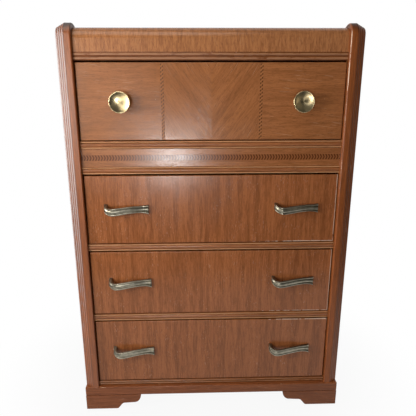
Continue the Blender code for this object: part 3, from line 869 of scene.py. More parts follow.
@dataclass(frozen=True)
class BandingFinish:
    """A flat inlaid band of slanting slips, dark and light in turn."""

    name: str
    weave: Weave
    half_width: float
    pitch: float
    slant: float
    light: Colour
    dark: Colour
    border: float = 0.80
    seam: float = 0.30
    roughness: float = 0.28
    gloss: float = 0.25

    # The slips' own figure, where a light slip turns to a dark one, their haze and their height
    FIGURE = Figure(
        streak_width=0.0015, streak_length=0.012, band_width=0.01, band_length=0.03,
        sway=0.004, band_share=0.3)
    SLIP_EDGE = (-0.4, 0.3)
    HAZE_ROUGHNESS = 0.24
    BUMP = 0.08
    SLIP_HEIGHT = 0.0003

    def material(self, effects: Effects) -> bpy.types.Material:
        """Build the material.

        Args:
            effects: The node groups that finishes share.

        Returns:
            The new material.
        """
        sheet = MaterialSheet(self.name)
        across, _, along = sheet.parts(sheet.attribute("band", "Vector"))
        reach = sheet.math("DIVIDE", across, self.half_width)
        out = sheet.math("ABSOLUTE", reach)
        lean = out if self.weave is Weave.HERRINGBONE else reach
        turns = sheet.math("MULTIPLY_ADD", lean, self.slant, sheet.math("DIVIDE", along, self.pitch))
        wave = sheet.math("SINE", sheet.math("MULTIPLY", turns, 2 * math.pi))
        inside = sheet.math("SUBTRACT", 1.0, sheet.ramp(out, self.border, 1.0))
        shade = sheet.math("MULTIPLY", sheet.ramp(wave, *self.SLIP_EDGE), inside)
        shade = sheet.math("MULTIPLY", shade, sheet.ramp(out, 0.0, self.seam))
        figure = sheet.group(effects.figure, sheet.grain | self.FIGURE.inputs())
        haze = sheet.group(effects.marks, sheet.grain)["Haze"]
        colour = sheet.blend(shade, self.light, self.dark)
        bands = sheet.math("MULTIPLY", figure["Bands"], self.FIGURE.band_share)
        colour = sheet.blend(bands, colour, self.dark)
        rough = sheet.around(self.roughness, self.HAZE_ROUGHNESS, haze)
        sheet.shade({"Base Color": colour, "Roughness": rough, "Specular IOR Level": self.gloss})
        sheet.bump(shade, self.BUMP, self.SLIP_HEIGHT)
        return sheet.material


@dataclass(frozen=True)
class BrassFinish:
    """Old plated brass: bright where it is rubbed, dull and brown in its hollows."""

    name: str
    bright: Colour = (0.52, 0.43, 0.26)
    dull: Colour = (0.23, 0.17, 0.08)
    dirt_and_shade: Colour = (0.05, 0.04, 0.02)
    roughness: float = 0.30
    anisotropy: float = 0.0
    tarnish: float = 0.5
    wear: float = 0.9
    grime: float = 0.8

    # Blotches of tarnish: their size, detail, and where bright turns to dull
    BLOTCH_SIZE = (0.012, 0.012, 0.012)
    BLOTCH_DETAIL = 4.0
    BLOTCH_ROUGHNESS = 0.6
    BLOTCH_EDGE = (0.35, 0.70)
    # What haze and tarnish add to the roughness
    HAZE_ROUGHNESS = 0.2
    TARNISH_ROUGHNESS = 0.15
    # The height of a scratch, in blotches, and of a blotch, in metres
    SCRATCH_HEIGHT = -0.4
    BLOTCH_HEIGHT = 0.0003
    BUMP = 0.12

    def material(self, effects: Effects) -> bpy.types.Material:
        """Build the material.

        Args:
            effects: The node groups that finishes share.

        Returns:
            The new material.
        """
        sheet = MaterialSheet(self.name)
        marks = sheet.group(effects.marks, sheet.grain)
        ages = {"Relief": sheet.attribute("relief", "Fac"), "Wear": self.wear, "Grime": self.grime}
        wear_and_painted_light = sheet.group(effects.wear_and_painted_light, sheet.grain | ages)
        lumps = (self.BLOTCH_SIZE, self.BLOTCH_DETAIL, self.BLOTCH_ROUGHNESS)
        blotch = sheet.noise(sheet.grain["Grain"], *lumps)
        cloud = sheet.math("MULTIPLY", sheet.ramp(blotch, *self.BLOTCH_EDGE), self.tarnish)
        cloud = sheet.math("MULTIPLY", cloud, sheet.math("SUBTRACT", 1.0, wear_and_painted_light["Wear"]))
        colour = sheet.blend(cloud, self.bright, self.dull)
        colour = sheet.blend(wear_and_painted_light["Grime"], colour, self.dirt_and_shade)
        rough = sheet.around(self.roughness, self.HAZE_ROUGHNESS, marks["Haze"])
        rough = sheet.math("MULTIPLY_ADD", cloud, self.TARNISH_ROUGHNESS, rough)
        sheet.shade({"Base Color": colour, "Metallic": 1.0, "Roughness": rough})
        if self.anisotropy:
            ring = sheet.add("Tangent", {}, direction_type="RADIAL", axis="Y")
            sheet.shade({"Anisotropic": self.anisotropy, "Tangent": ring.outputs[0]})
        height = sheet.math("MULTIPLY_ADD", marks["Scratches"], self.SCRATCH_HEIGHT, blotch)
        sheet.bump(height, self.BUMP, self.BLOTCH_HEIGHT)
        return sheet.material


class Finishes:
    """All the chest's materials."""

    def __init__(self, effects: Effects) -> None:
        """Build them.

        Args:
            effects: The node groups that they share.
        """
        level = Figure(
            streak_width=0.0026, streak_length=0.042, band_width=0.009, band_length=0.22,
            sway=0.010, band_share=0.40)
        ribbon = Figure(
            streak_width=0.0030, streak_length=0.036, band_width=0.015, band_length=0.30,
            sway=0.014, band_share=0.48)
        mottled = Figure(
            streak_width=0.0040, streak_length=0.022, band_width=0.012, band_length=0.08,
            sway=0.022, band_share=0.40)
        plain = Figure(
            streak_width=0.0020, streak_length=0.080, band_width=0.015, band_length=0.30,
            sway=0.012, band_share=0.55)
        self.case = WoodFinish(
            "case_wood", (0.165, 0.048, 0.015), (0.268, 0.082, 0.027), level,
            gloss=0.25, wear=0.45).material(effects)
        # The posts' pale colour paints, along the right post's inner edge, a highlight of light from the
        # left, partly scuffing
        post = WoodFinish(
            "post_wood_painted_sheen", (0.185, 0.050, 0.011), (0.300, 0.084, 0.020), level,
            worn=(0.70, 0.52, 0.40), roughness=0.34, gloss=0.58, wear=0.25, bump=0.05)
        # Left post: grey crests and greyish hollows on the reeds paint the sheen of light from the left,
        # partly scuffing and soiling
        rubbed = replace(post, worn=(0.27, 0.235, 0.235), dirt_and_shade=(0.078, 0.055, 0.050), wear=1.9, grime=1.0)
        dulled = replace(post, name="dulled_post_wood", gloss=0.3)
        self.posts = {Side.LEFT: rubbed.material(effects), Side.RIGHT: dulled.material(effects)}
        # Darker colours paint the shade under the top's roll, on the top moulding and the bottom rail
        # alike; pale crests and near-black hollows paint highlight and shade along the beads, partly
        # scuffing and soiling
        self.moulding = WoodFinish(
            "moulding_wood", (0.150, 0.050, 0.017), (0.250, 0.086, 0.030), level,
            worn=(0.33, 0.150, 0.064), dirt_and_shade=(0.020, 0.008, 0.004), wear=1.5, grime=1.0).material(effects)
        # Pale golden crests and near-black hollows paint highlight and shade along the beads, partly
        # scuffing and soiling
        self.rail = WoodFinish(
            "rail_wood", (0.205, 0.070, 0.023), (0.340, 0.122, 0.043), level,
            worn=(0.52, 0.265, 0.118), dirt_and_shade=(0.020, 0.008, 0.004), wear=1.7, grime=1.0).material(effects)
        self.veneer = WoodFinish(
            "face_veneer", (0.228, 0.081, 0.0265), (0.346, 0.128, 0.043), ribbon,
            pore_depth=0.35, roughness=0.21, wear=0.35).material(effects)
        self.top_veneer = WoodFinish(
            "top_veneer", (0.255, 0.098, 0.036), (0.400, 0.162, 0.061), mottled,
            pore_depth=0.35, roughness=0.24, wear=0.35).material(effects)
        # Its whitish-pink pale colour paints the light lines along the drawers' edges: partly painted
        # highlight, partly scuffing
        self.drawer_veneer = WoodFinish(
            "drawer_veneer", (0.198, 0.062, 0.019), (0.352, 0.120, 0.041), ribbon,
            worn=(0.70, 0.52, 0.40), pore_depth=0.35, roughness=0.21, gloss=0.32, wear=0.30,
            dents=0.04).material(effects)
        self.box = WoodFinish(
            "box_wood", (0.34, 0.21, 0.105), (0.52, 0.36, 0.20), plain, pore=(0.22, 0.12, 0.06),
            worn=(0.60, 0.46, 0.29), dirt_and_shade=(0.12, 0.075, 0.04), roughness=0.62).material(effects)
        self.rope_band = BandingFinish(
            "rope_banding", Weave.ROPE, half_width=0.0044, pitch=0.0097, slant=-0.4,
            light=(0.36, 0.140, 0.047), dark=(0.092, 0.029, 0.011)).material(effects)
        self.herringbone_band = BandingFinish(
            "herringbone_banding", Weave.HERRINGBONE, half_width=0.0085, pitch=0.0079, slant=0.5,
            light=(0.27, 0.095, 0.030), dark=(0.095, 0.028, 0.009), seam=0.02, roughness=0.21,
            gloss=0.34).material(effects)
        self.knob = BrassFinish(
            "spun_brass", bright=(0.55, 0.44, 0.25), roughness=0.26, anisotropy=0.7).material(effects)
        self.pull = BrassFinish(
            "aged_brass", bright=(0.30, 0.275, 0.215), dull=(0.12, 0.105, 0.073)).material(effects)


# Case

@dataclass
class Post:
    """A corner post: a flat strip and a reeded facet, rolled over a crest and back, level with the top."""

    side: Side
    strip: float = 0.0175
    facet_drop: float = 0.013
    depth: float = 0.026
    roll_radius: float = 0.031
    crest: float = 0.010
    crest_fall: float = 0.045
    edge_round: float = 0.004
    reed_count: int = 4
    reed_height: float = 0.0011
    margin: float = 0.0012
    high_paleness: float = 1.15
    crest_darkening: float = 1.0

    # How pale the inner edge is, on the right post a painted highlight of light from the left, partly
    # scuffing, and on the left post none, and how much of the paleness reaches down to the floor
    EDGE_RELIEF = {Side.LEFT: 0.0, Side.RIGHT: 1.4}
    LOW_PALENESS = {Side.LEFT: 0.0, Side.RIGHT: 0.5}

    @property
    def node(self) -> str:
        """The solid that the post stands for."""
        return f"{self.side.word}_post"

    def section(self) -> list[Dot]:
        """Draw the post's section.

        Returns:
            Places along X, and in from the front.
        """
        low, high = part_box(self.node)
        width = high.x - low.x
        inner, _ = self.side.ends(low, high)
        dots = []
        # The right post's inner edge turns pale: painted highlight, partly scuffing; the left one stays
        # dark
        for dot in quarter_round(self.edge_round, 2 * EASE_STEPS):
            dots.append(dot._replace(relief=self.EDGE_RELIEF[self.side] * dot.relief))
        dots.append(Dot(self.strip - self.margin, 0.0))
        reeds = [1.0] * self.reed_count
        dots += beads((width, self.facet_drop), (self.strip, 0.0), reeds, self.reed_height)[::-1]
        dots.append(Dot(width, self.facet_drop + self.margin))
        dots += [Dot(width, self.depth), Dot(0.0, self.depth)]
        return [Dot(inner + self.side.value * dot.across, dot.up, dot.relief) for dot in dots]

    def path(self) -> RollPath:
        """Lay the line that the post follows.

        Returns:
            The line of its strip, from which the first reed stands out a little.
        """
        low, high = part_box(self.node)
        proud = -min(dot.up for dot in self.section())
        ends = (low.y + proud, low.z, high.z - proud, high.y)
        return RollPath(*ends, self.roll_radius, self.crest, self.crest_fall)

    def age(self, shell: Shell) -> None:
        """Make edges and reeds paler the higher they stand, partly scuffing and partly painted sheen that
        fades downwards, and darken the crest.

        Args:
            shell: The post's shell, whose relief changes.
        """
        _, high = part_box(self.node)
        # Paleness grows with height: partly scuffing, partly painted sheen and highlight that fade
        # downwards
        low_paleness = self.LOW_PALENESS[self.side]
        marks = []
        for mark in shell.marks:
            paleness = low_paleness + (self.high_paleness - low_paleness) * mark.place.z / high.z
            relief = mark.relief * paleness if mark.relief > 0 else mark.relief
            # The crest is darkened
            grime = self.crest_darkening * max(0.0, 1 - (high.z - mark.place.z) / self.roll_radius)
            marks.append(mark._replace(relief=relief - grime))
        shell.marks = marks

    def build(self, finishes: Finishes) -> None:
        """Sweep the section up the front and over the top.

        Args:
            finishes: The chest's materials.
        """
        shell = self.path().sweep(self.section(), TIMBER.spot())
        self.age(shell)
        finish(shell, self.node, CASE, Slot.CASE_WOOD, finishes.posts[self.side])


@dataclass
class WaterfallTop:
    """The rolled, veneered top between the posts."""

    radius: float = 0.030
    thickness: float = 0.018
    ease: float = 0.0005
    node: str = "waterfall_top"

    def build(self, finishes: Finishes) -> None:
        """Sweep the board round the roll and back.

        Args:
            finishes: The chest's materials.
        """
        low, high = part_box(self.node)
        path = RollPath(low.y, low.z, high.z, high.y, self.radius)
        section = soften(rectangle((low.x, high.x), (0.0, self.thickness)), self.ease)
        shell = path.sweep(section, TIMBER.spot())
        finish(shell, self.node, CASE, Slot.FACE_VENEER, finishes.top_veneer)


@dataclass
class BeadedRail:
    """A rail between the posts, with round beads along its front."""

    node: str
    bead_shares: tuple[float, ...] = (1.0, 2.2, 1.0)
    bead_height: float = 0.003
    ease: float = 0.0003

    def build(self, material: bpy.types.Material) -> None:
        """Extrude the beaded section between the posts.

        Args:
            material: The rail's finish.
        """
        low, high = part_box(self.node)
        valley = low.y + self.bead_height
        outline = beads((valley, low.z), (valley, high.z), self.bead_shares, self.bead_height)
        outline += [Dot(high.y, high.z), Dot(high.y, low.z)]
        shell = Shell().prism(outline, Axis.X, (low.x, high.x), TIMBER.along(Axis.X), self.ease)
        finish(shell, self.node, CASE, Slot.CASE_WOOD, material)


@dataclass
class InlaidBand:
    """A flat patterned band, a hair proud of the face that it is let into."""

    node: str
    body: str
    axis: Axis
    proud: float = 0.00012
    ease: float = 0.0001

    def build(self, finishes: Finishes) -> None:
        """Lay the band, and note where each point lies across and along it.

        Args:
            finishes: The chest's materials.
        """
        low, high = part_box(self.node)
        low.y -= self.proud
        shell = board(low, high, TIMBER.along(self.axis), self.ease)
        level = self.axis is Axis.X
        material = finishes.herringbone_band if level else finishes.rope_band
        piece = shell.piece(f"{self.node}_finished", material)
        centre = (low + high) / 2
        along, first, second = self.axis.value
        across = second if level else first
        places = []
        for vertex in piece.data.vertices:
            local = vertex.co - centre
            places += [local[across], 0.0, local[along]]
        band = piece.data.attributes.new("band", "FLOAT_VECTOR", "POINT")
        band.data.foreach_set("vector", places)
        seat(piece, self.body, Slot.INLAY_BANDING, self.node)


@dataclass
class PlainBoard:
    """A straight board that stands for one solid."""

    node: str
    body: str
    grain: Axis
    slot: Slot
    ease: float = 0.0008

    def build(self, material: bpy.types.Material) -> None:
        """Saw the board and ease its edges.

        Args:
            material: The board's finish.
        """
        low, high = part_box(self.node)
        shell = board(low, high, TIMBER.along(self.grain), self.ease)
        finish(shell, self.node, self.body, self.slot, material)


@dataclass
class SidePanel:
    """A side of the case, which follows the inside of its post's roll."""

    side: Side
    gap: float = 0.0003
    ease: float = 0.0008

    def build(self, finishes: Finishes) -> None:
        """Extrude the panel's outline through its thickness.

        Args:
            finishes: The chest's materials.
        """
        node = f"{self.side.word}_side_panel"
        low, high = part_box(node)
        post = Post(self.side)
        outline = []
        for place, inward, _ in post.path().stations():
            inside = place + inward * (post.depth + self.gap)
            outline.append(Dot(inside.x, inside.y))
        outline.append(Dot(high.y, low.z))
        shell = Shell().prism(outline, Axis.X, (low.x, high.x), TIMBER.along(Axis.Z), self.ease)
        finish(shell, node, CASE, Slot.CASE_WOOD, finishes.case)


@dataclass
class BracketFoot:
    """A bracket foot: two shaped boards, mitred at the chest's corner."""

    end: End
    side: Side
    thickness: float = 0.024
    front_pad: float = 0.098
    side_pad: float = 0.060
    slope: float = 0.024
    step_length: float = 0.034
    step_low: float = 0.0205
    step_high: float = 0.0225
    shoulder: float = 0.021
    curve_steps: int = 14
    ease: float = 0.0009

    # How far in from both faces the middle of an eased edge lies, as a share of the ease
    EASE_MIDDLE = 0.3

    def outline(self, pad: float, height: float) -> list[Corner]:
        """Draw one face of the bracket.

        Args:
            pad: How far the foot stands on the floor from its corner.
            height: The foot's height.

        Returns:
            Places out from the corner, and up.
        """
        corners = [(0.0, height), (0.0, 0.0)]
        for i in range(self.curve_steps + 1):
            share = i / self.curve_steps
            corners.append((pad + self.slope * share, self.step_low * (1 - math.cos(math.pi * share)) / 2))
        step_end = pad + self.slope + self.step_length
        for i in range(self.curve_steps + 1):
            angle = math.pi / 2 * i / self.curve_steps
            rise = (height - self.step_high) * (1 - math.cos(angle))
            corners.append((step_end + self.shoulder * math.sin(angle), self.step_high + rise))
        return corners

    def board_rings(self, pad: float, height: float) -> list[tuple[float, list[Dot]]]:
        """Cut one board of the foot.

        Args:
            pad: How far the foot stands on the floor from its corner.
            height: The foot's height.

        Returns:
            Depths from the outer face in, and the outline at each, cut to the mitre.
        """
        outline = [Dot(across, up) for across, up in self.outline(pad, height)]
        eased = self.ease * self.EASE_MIDDLE
        steps = [(0.0, self.ease, 0.0), (eased, eased, 1.0), (self.ease, 0.0, 0.0)]
        steps.append((self.thickness, 0.0, 0.0))
        rings = []
        for depth, draw, relief in steps:
            ring = [Dot(max(dot.across, depth), dot.up, relief) for dot in inset(outline, draw)]
            rings.append((depth, ring))
        return rings

    def build(self, finishes: Finishes) -> None:
        """Make the two boards into one foot.

        Args:
            finishes: The chest's materials.
        """
        node = f"{self.end.word}_{self.side.word}_foot"
        low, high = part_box(node)
        _, corner_x = self.side.ends(low, high)
        corner_y = low.y if self.end is End.FRONT else high.y
        shell = Shell()
        for pad, axis in ((self.front_pad, Axis.X), (self.side_pad, Axis.Y)):
            grain = TIMBER.along(axis)
            rings = []
            for depth, ring in self.board_rings(pad, high.z):
                marks = []
                for dot in ring:
                    out, back = (dot.across, depth) if axis is Axis.X else (depth, dot.across)
                    x, y = corner_x - self.side.value * out, corner_y + self.end.value * back
                    place = Vector((x, y, dot.up))
                    marks.append(Mark(place, grain.at(place), dot.relief))
                rings.append(marks)
            shell.loft(rings)
        finish(shell, node, CASE, Slot.CASE_WOOD, finishes.case)


@dataclass
class DrawerRunner:
    """A runner: a ledge under a drawer's side, and a guide beside it."""

    number: int
    side: Side
    ledge: float = 0.0145
    guide: float = 0.0262
    ease: float = 0.0006

    def build(self, finishes: Finishes) -> None:
        """Extrude the L section along the drawer's way.

        Args:
            finishes: The chest's materials.
        """
        node = f"drawer_{self.number}_{self.side.word}_runner"
        low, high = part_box(node)
        ledge_end, wall = self.side.ends(low, high)
        guide = wall - self.side.value * self.guide
        floor = low.z + self.ledge
        corners = [(ledge_end, low.z), (wall, low.z), (wall, high.z), (guide, high.z), (guide, floor)]
        corners.append((ledge_end, floor))
        outline = soften(corners, self.ease)
        shell = Shell().prism(outline, Axis.Y, (low.y, high.y), TIMBER.along(Axis.Y), self.ease * END_EASE)
        finish(shell, node, CASE, Slot.BOX_WOOD, finishes.box)


# Drawers

@dataclass
class SlottedScrew:
    """A slotted screw head on the back of a drawer front, over a washer."""

    name: str
    body: str
    centre: Vector
    radius: float = 0.0042
    height: float = 0.0022
    washer_radius: float = 0.0062
    washer_height: float = 0.0008
    slot_half: float = 0.0006
    dome_steps: int = 4
    sides: int = 24
    relief: float = 0.3

    # Shares of the head's radius that its crown has, and of its height that its upright side has
    CROWN = 0.45
    UPRIGHT = 0.35
    # Shares of the washer's height and radius at which its edge is bevelled
    BEVEL_START = 0.6
    BEVEL_END = 0.95

    def half_head(self, sign: float) -> list[list[Mark]]:
        """Shape one half of the head, beside the slot.

        Args:
            sign: 1 for the half above the slot, -1 for the half below it.

        Returns:
            The half's rings, from the washer out.
        """
        rings = []
        for i in range(self.dome_steps + 1):
            turn = math.pi / 2 * i / self.dome_steps
            radius = self.radius * (self.CROWN + (1 - self.CROWN) * math.cos(turn))
            share = self.UPRIGHT + (1 - self.UPRIGHT) * math.sin(turn) if i else 0.0
            rise = self.washer_height + self.height * share
            ring = []
            start = math.asin(self.slot_half / radius)
            for j in range(self.sides // 2 + 1):
                angle = start + (math.pi - 2 * start) * j / (self.sides // 2)
                arm = Vector((radius * math.cos(angle), rise, sign * radius * math.sin(angle)))
                ring.append(Mark(self.centre + arm, arm, self.relief))
            rings.append(ring)
        return rings

    def build(self, finishes: Finishes) -> None:
        """Make the washer and the two halves of the head.

        Args:
            finishes: The chest's materials.
        """
        edge, top = self.washer_radius, self.washer_height
        profile = [Dot(0.0, 0.0), Dot(edge, 0.0), Dot(edge, top * self.BEVEL_START)]
        profile += [Dot(edge * self.BEVEL_END, top), Dot(0.0, top)]
        shell = Shell().turned(profile, self.centre, 1.0, self.sides)
        for sign in (1.0, -1.0):
            shell.loft(self.half_head(sign))
        seat(shell.piece(self.name, finishes.pull), self.body, Slot.AGED_BRASS)


@dataclass
class DishedKnob:
    """A turned brass knob with a dished face."""

    body: str
    side: Side
    inset: float = 0.1168
    radius: float = 0.0285
    reach: float = 0.031
    rim: float = 0.004
    rim_land: float = 0.0015
    dish_depth: float = 0.0045
    stem_radius: float = 0.011
    base_radius: float = 0.0145
    base_height: float = 0.0035
    neck: float = 0.010
    clearance: float = 0.0003
    steps: int = 16
    sides: int = 72

    # Relief of the dish, its rim, the edge below, the neck's foot, and the base's edge and foot
    DISH_RELIEF = -0.15
    RIM_RELIEF = 0.9
    EDGE_RELIEF = 0.5
    NECK_RELIEF = -0.8
    BASE_RELIEF = 0.4
    FOOT_RELIEF = -0.6
    # How steeply the dish is rubbed towards its rim
    RUB_POWER = 8
    # Shares of the base's radius and height at which its edge is bevelled
    BEVEL_END = 0.96
    BEVEL_START = 0.8

    def profile(self) -> list[Dot]:
        """Draw the knob's half section.

        Returns:
            Radius and height of its points, from the middle of its dish out, down and in to its foot.
        """
        dish = self.radius - self.rim_land
        dots = []
        for i in range(self.steps + 1):
            share = i / self.steps
            height = self.reach - self.dish_depth * (1 - share ** 2)
            dots.append(Dot(dish * share, height, share ** self.RUB_POWER + self.DISH_RELIEF))
        for i in range(1, EASE_STEPS + 1):
            angle = math.pi / 2 * i / EASE_STEPS
            across = dish + self.rim_land * math.sin(angle)
            height = self.reach - self.rim_land * (1 - math.cos(angle))
            dots.append(Dot(across, height, self.RIM_RELIEF))
        under = self.reach - self.rim
        dots.append(Dot(self.radius, under, self.EDGE_RELIEF))
        neck_top = self.base_height + self.neck
        for i in range(1, self.steps + 1):
            angle = math.pi / 2 * i / self.steps
            across = self.stem_radius + (self.radius - self.stem_radius) * (1 - math.sin(angle))
            dots.append(Dot(across, neck_top + (under - neck_top) * math.cos(angle)))
        dots.append(Dot(self.stem_radius, self.base_height, self.NECK_RELIEF))
        dots.append(Dot(self.base_radius * self.BEVEL_END, self.base_height, self.BASE_RELIEF))
        dots.append(Dot(self.base_radius, self.base_height * self.BEVEL_START, self.BASE_RELIEF))
        dots.append(Dot(self.base_radius, self.clearance, self.FOOT_RELIEF))
        dots.append(Dot(0.0, self.clearance))
        return dots

    def build(self, finishes: Finishes) -> None:
        """Turn the knob and screw it to its drawer.

        Args:
            finishes: The chest's materials.
        """
        node = f"{self.body}_{self.side.word}_knob"
        low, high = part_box(f"{self.body}_front")
        _, edge = self.side.ends(low, high)
        centre = Vector((edge - self.side.value * self.inset, low.y, (low.z + high.z) / 2))
        shell = Shell().turned(self.profile(), centre, -1.0, self.sides)
        finish(shell, node, self.body, Slot.AGED_BRASS, finishes.knob)
        behind = Vector((centre.x, high.y, centre.z))
        SlottedScrew(f"{node}_screw", self.body, behind).build(finishes)


class Station(NamedTuple):
    """A section along a pull, in shares: of its half length, its reach and, twice, its strap's height."""

    along: float
    reach: float
    rise: float
    height: float


@dataclass
class StrapPull:
    """A cast strap pull: hooked at its left end, swept in to a broad foot at its right."""

    body: str
    side: Side
    inset: float = 0.1168
    above_middle: float = 0.0035
    half_length: float = 0.062
    reach: float = 0.0235
    strap_height: float = 0.019
    strap_thickness: float = 0.005
    foot_thickness: float = 0.0094
    clearance: float = 0.0003
    steps: int = 9
    foot_darkening: float = 0.9
    hook_screw: float = -0.90
    foot_screw: float = 0.84

    STATIONS = (
        Station(-0.965, 0.00, 0.42, 0.82),
        Station(-0.955, 0.50, 0.18, 0.95),
        Station(-0.810, 0.89, -0.12, 1.08),
        Station(-0.560, 1.00, -0.18, 1.14),
        Station(0.130, 0.66, 0.03, 1.08),
        Station(0.580, 0.36, 0.06, 1.08),
        Station(0.840, 0.23, 0.02, 1.20),
        Station(1.000, 0.20, -0.02, 1.42),
    )
    # Upper half of the strap's section: shares of the half height and of the thickness, and the relief
    SECTION = (
        Dot(0.97, 0.00), Dot(1.00, 0.12), Dot(1.00, 0.62, 0.3), Dot(0.96, 0.86, 0.9), Dot(0.88, 1.00, 1.0),
        Dot(0.76, 1.02, 0.7), Dot(0.64, 0.98, 0.3), Dot(0.58, 0.84, -0.6), Dot(0.52, 0.78, -1.0),
        Dot(0.44, 0.82, -0.4), Dot(0.24, 0.92, 0.3), Dot(0.08, 0.95, 0.5),
    )

    def line(self) -> list[Vector]:
        """Draw a smooth curve through the stations.

        Returns:
            Its places along, out and up, with half the strap's height at each.
        """
        places = []
        for station in self.STATIONS:
            out = station.reach * self.reach + self.clearance
            rise, half = station.rise * self.strap_height, station.height * self.strap_height / 2
            places.append(Vector((station.along * self.half_length, out, rise, half)))
        ends = [places[0], *places, places[-1]]
        made = [places[0]]
        for before, start, end, after in zip(ends, ends[1:], ends[2:], ends[3:]):
            for i in range(1, self.steps + 1):
                t = i / self.steps
                lead = before * (-t + 2 * t * t - t ** 3) + start * (2 - 5 * t * t + 3 * t ** 3)
                tail = end * (t + 4 * t * t - 3 * t ** 3) + after * (t ** 3 - t * t)
                made.append((lead + tail) / 2)
        return made

    def rings(self, centre: Vector) -> list[list[Mark]]:
        """Return the strap's sections.

        Args:
            centre: The middle of the pull, on the drawer's face.

        Returns:
            The sections, from the hooked end to the foot.
        """
        line = self.line()
        lower_half = [Dot(-dot.across, dot.up, dot.relief) for dot in reversed(self.SECTION)]
        section = [*self.SECTION, *lower_half]
        rings = []
        for i, point in enumerate(line):
            ahead = line[min(i + 1, len(line) - 1)] - line[max(i - 1, 0)]
            along = Vector((ahead[0], ahead[1])).normalized() if i else Vector((0.0, 1.0))
            outward = Vector((-along.y, along.x))
            share = abs(point[0]) / self.half_length
            thickness = self.strap_thickness + (self.foot_thickness - self.strap_thickness) * share ** 3
            # Darker towards the foot
            dirt_and_shade = self.foot_darkening * max(point[0], 0.0) / self.half_length
            ring = []
            for dot in section:
                place = Vector((point[0], point[1])) + outward * thickness * (dot.up - 0.5)
                local = Vector((place.x, -max(place.y, self.clearance), point[2] + dot.across * point[3]))
                ring.append(Mark(centre + local, local, dot.relief - dirt_and_shade))
            rings.append(ring)
        return rings

    def build(self, finishes: Finishes) -> None:
        """Cast the pull and screw it to its drawer at both ends.

        Args:
            finishes: The chest's materials.
        """
        node = f"{self.body}_{self.side.word}_pull"
        low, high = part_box(f"{self.body}_front")
        _, edge = self.side.ends(low, high)
        height = (low.z + high.z) / 2 + self.above_middle
        centre = Vector((edge - self.side.value * self.inset, low.y, height))
        shell = Shell().loft(self.rings(centre))
        finish(shell, node, self.body, Slot.AGED_BRASS, finishes.pull)
        for label, share in (("hook", self.hook_screw), ("foot", self.foot_screw)):
            behind = Vector((centre.x + share * self.half_length, high.y, centre.z))
            SlottedScrew(f"{node}_{label}_screw", self.body, behind).build(finishes)


@dataclass
class Drawer:
    """A drawer: a veneered front on a plain box, with its knobs or pulls."""

    number: int
    front_ease: float = 0.002
    box_ease: float = 0.0012
    panel_half: float = 0.134
    panel_slope: float = math.radians(53)
    seam: float = 0.0008
    # Where and how far the edges turn pale towards the right end: partly scuffing, partly painted highlight
    pale_start: float = 0.10
    pale_width: float = 0.0025
    right_paleness: float = 2.1

    @property
    def body(self) -> str:
        """The body that the drawer's pieces ride on."""
        return f"drawer_{self.number}"

    def matched_front(self, low: Vector, high: Vector) -> Shell:
        """Make a front with level grain at its ends and a matched panel between them.

        Args:
            low: The least corner of the front's box.
            high: The greatest corner of that box.

        Returns:
            The front's shell.
        """
        grain = MatchedGrain(TIMBER.along(Axis.X), self.panel_half, self.panel_slope)
        ends = [sign * (self.panel_half + gap) for sign in (-1, 1) for gap in (-self.seam, self.seam)]
        return board(low, high, grain, self.front_ease, [0.0, *ends])

    def ribbon_front(self, low: Vector, high: Vector) -> Shell:
        """Make a front with upright grain, whose edges turn pale towards its right end, partly scuffing and
        partly painted highlight.

        Args:
            low: The least corner of the front's box.
            high: The greatest corner of that box.

        Returns:
            The front's shell.
        """
        outline = soften(rectangle((low.y, high.y), (low.z, high.z)), self.front_ease)
        # The bottom drawer turns pale along its top edge, the others along their lower edge and right end:
        # partly scuffing, partly painted highlight
        top_is_pale = self.number == BOTTOM_DRAWER
        pale_corner = len(outline) - 1 if top_is_pale else 0
        outline[pale_corner] = outline[pale_corner]._replace(relief=1.0)
        reach = self.front_ease + self.pale_width
        outline += [Dot(low.y, high.z - reach), Dot(low.y, low.z + reach)]
        span = (low.x, high.x)
        cuts = (self.pale_start, high.x - reach)
        shell = Shell().prism(outline, Axis.X, span, TIMBER.along(Axis.Z), self.front_ease, cuts)
        middle = (low.z + high.z) / 2
        marks = []
        for mark in shell.marks:
            share = max(mark.place.x - self.pale_start, 0.0) / (high.x - self.pale_start)
            paleness = 1 + (self.right_paleness - 1) * share
            if mark.place.x > high.x - reach + self.pale_width / 2 and not top_is_pale:
                mark = mark._replace(relief=paleness)
            elif (mark.place.z > middle) == top_is_pale:
                mark = mark._replace(relief=mark.relief * paleness)
            marks.append(mark)
        shell.marks = marks
        return shell

    def build_front(self, finishes: Finishes) -> None:
        """Make the front, with a matched panel on the top drawer.

        Args:
            finishes: The chest's materials.
        """
        node = f"{self.body}_front"
        if self.number == TOP_DRAWER:
            shell, veneer = self.matched_front(*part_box(node)), finishes.veneer
        else:
            shell, veneer = self.ribbon_front(*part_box(node)), finishes.drawer_veneer
        finish(shell, node, self.body, Slot.FACE_VENEER, veneer)

    def build_box(self, finishes: Finishes) -> None:
        """Make the sides, the back and the bottom.

        Args:
            finishes: The chest's materials.
        """
        grains = {"left_side": Axis.Y, "right_side": Axis.Y, "back": Axis.X, "bottom": Axis.X}
        for part, axis in grains.items():
            plain = PlainBoard(f"{self.body}_{part}", self.body, axis, Slot.BOX_WOOD, self.box_ease)
            plain.build(finishes.box)

    def build(self, finishes: Finishes) -> None:
        """Make the whole drawer.

        Args:
            finishes: The chest's materials.
        """
        self.build_front(finishes)
        self.build_box(finishes)
        for side in Side:
            if self.number == TOP_DRAWER:
                InlaidBand(f"{self.body}_{side.word}_inlay", self.body, Axis.Z).build(finishes)
                DishedKnob(self.body, side).build(finishes)
            else:
                StrapPull(self.body, side).build(finishes)


# Studio

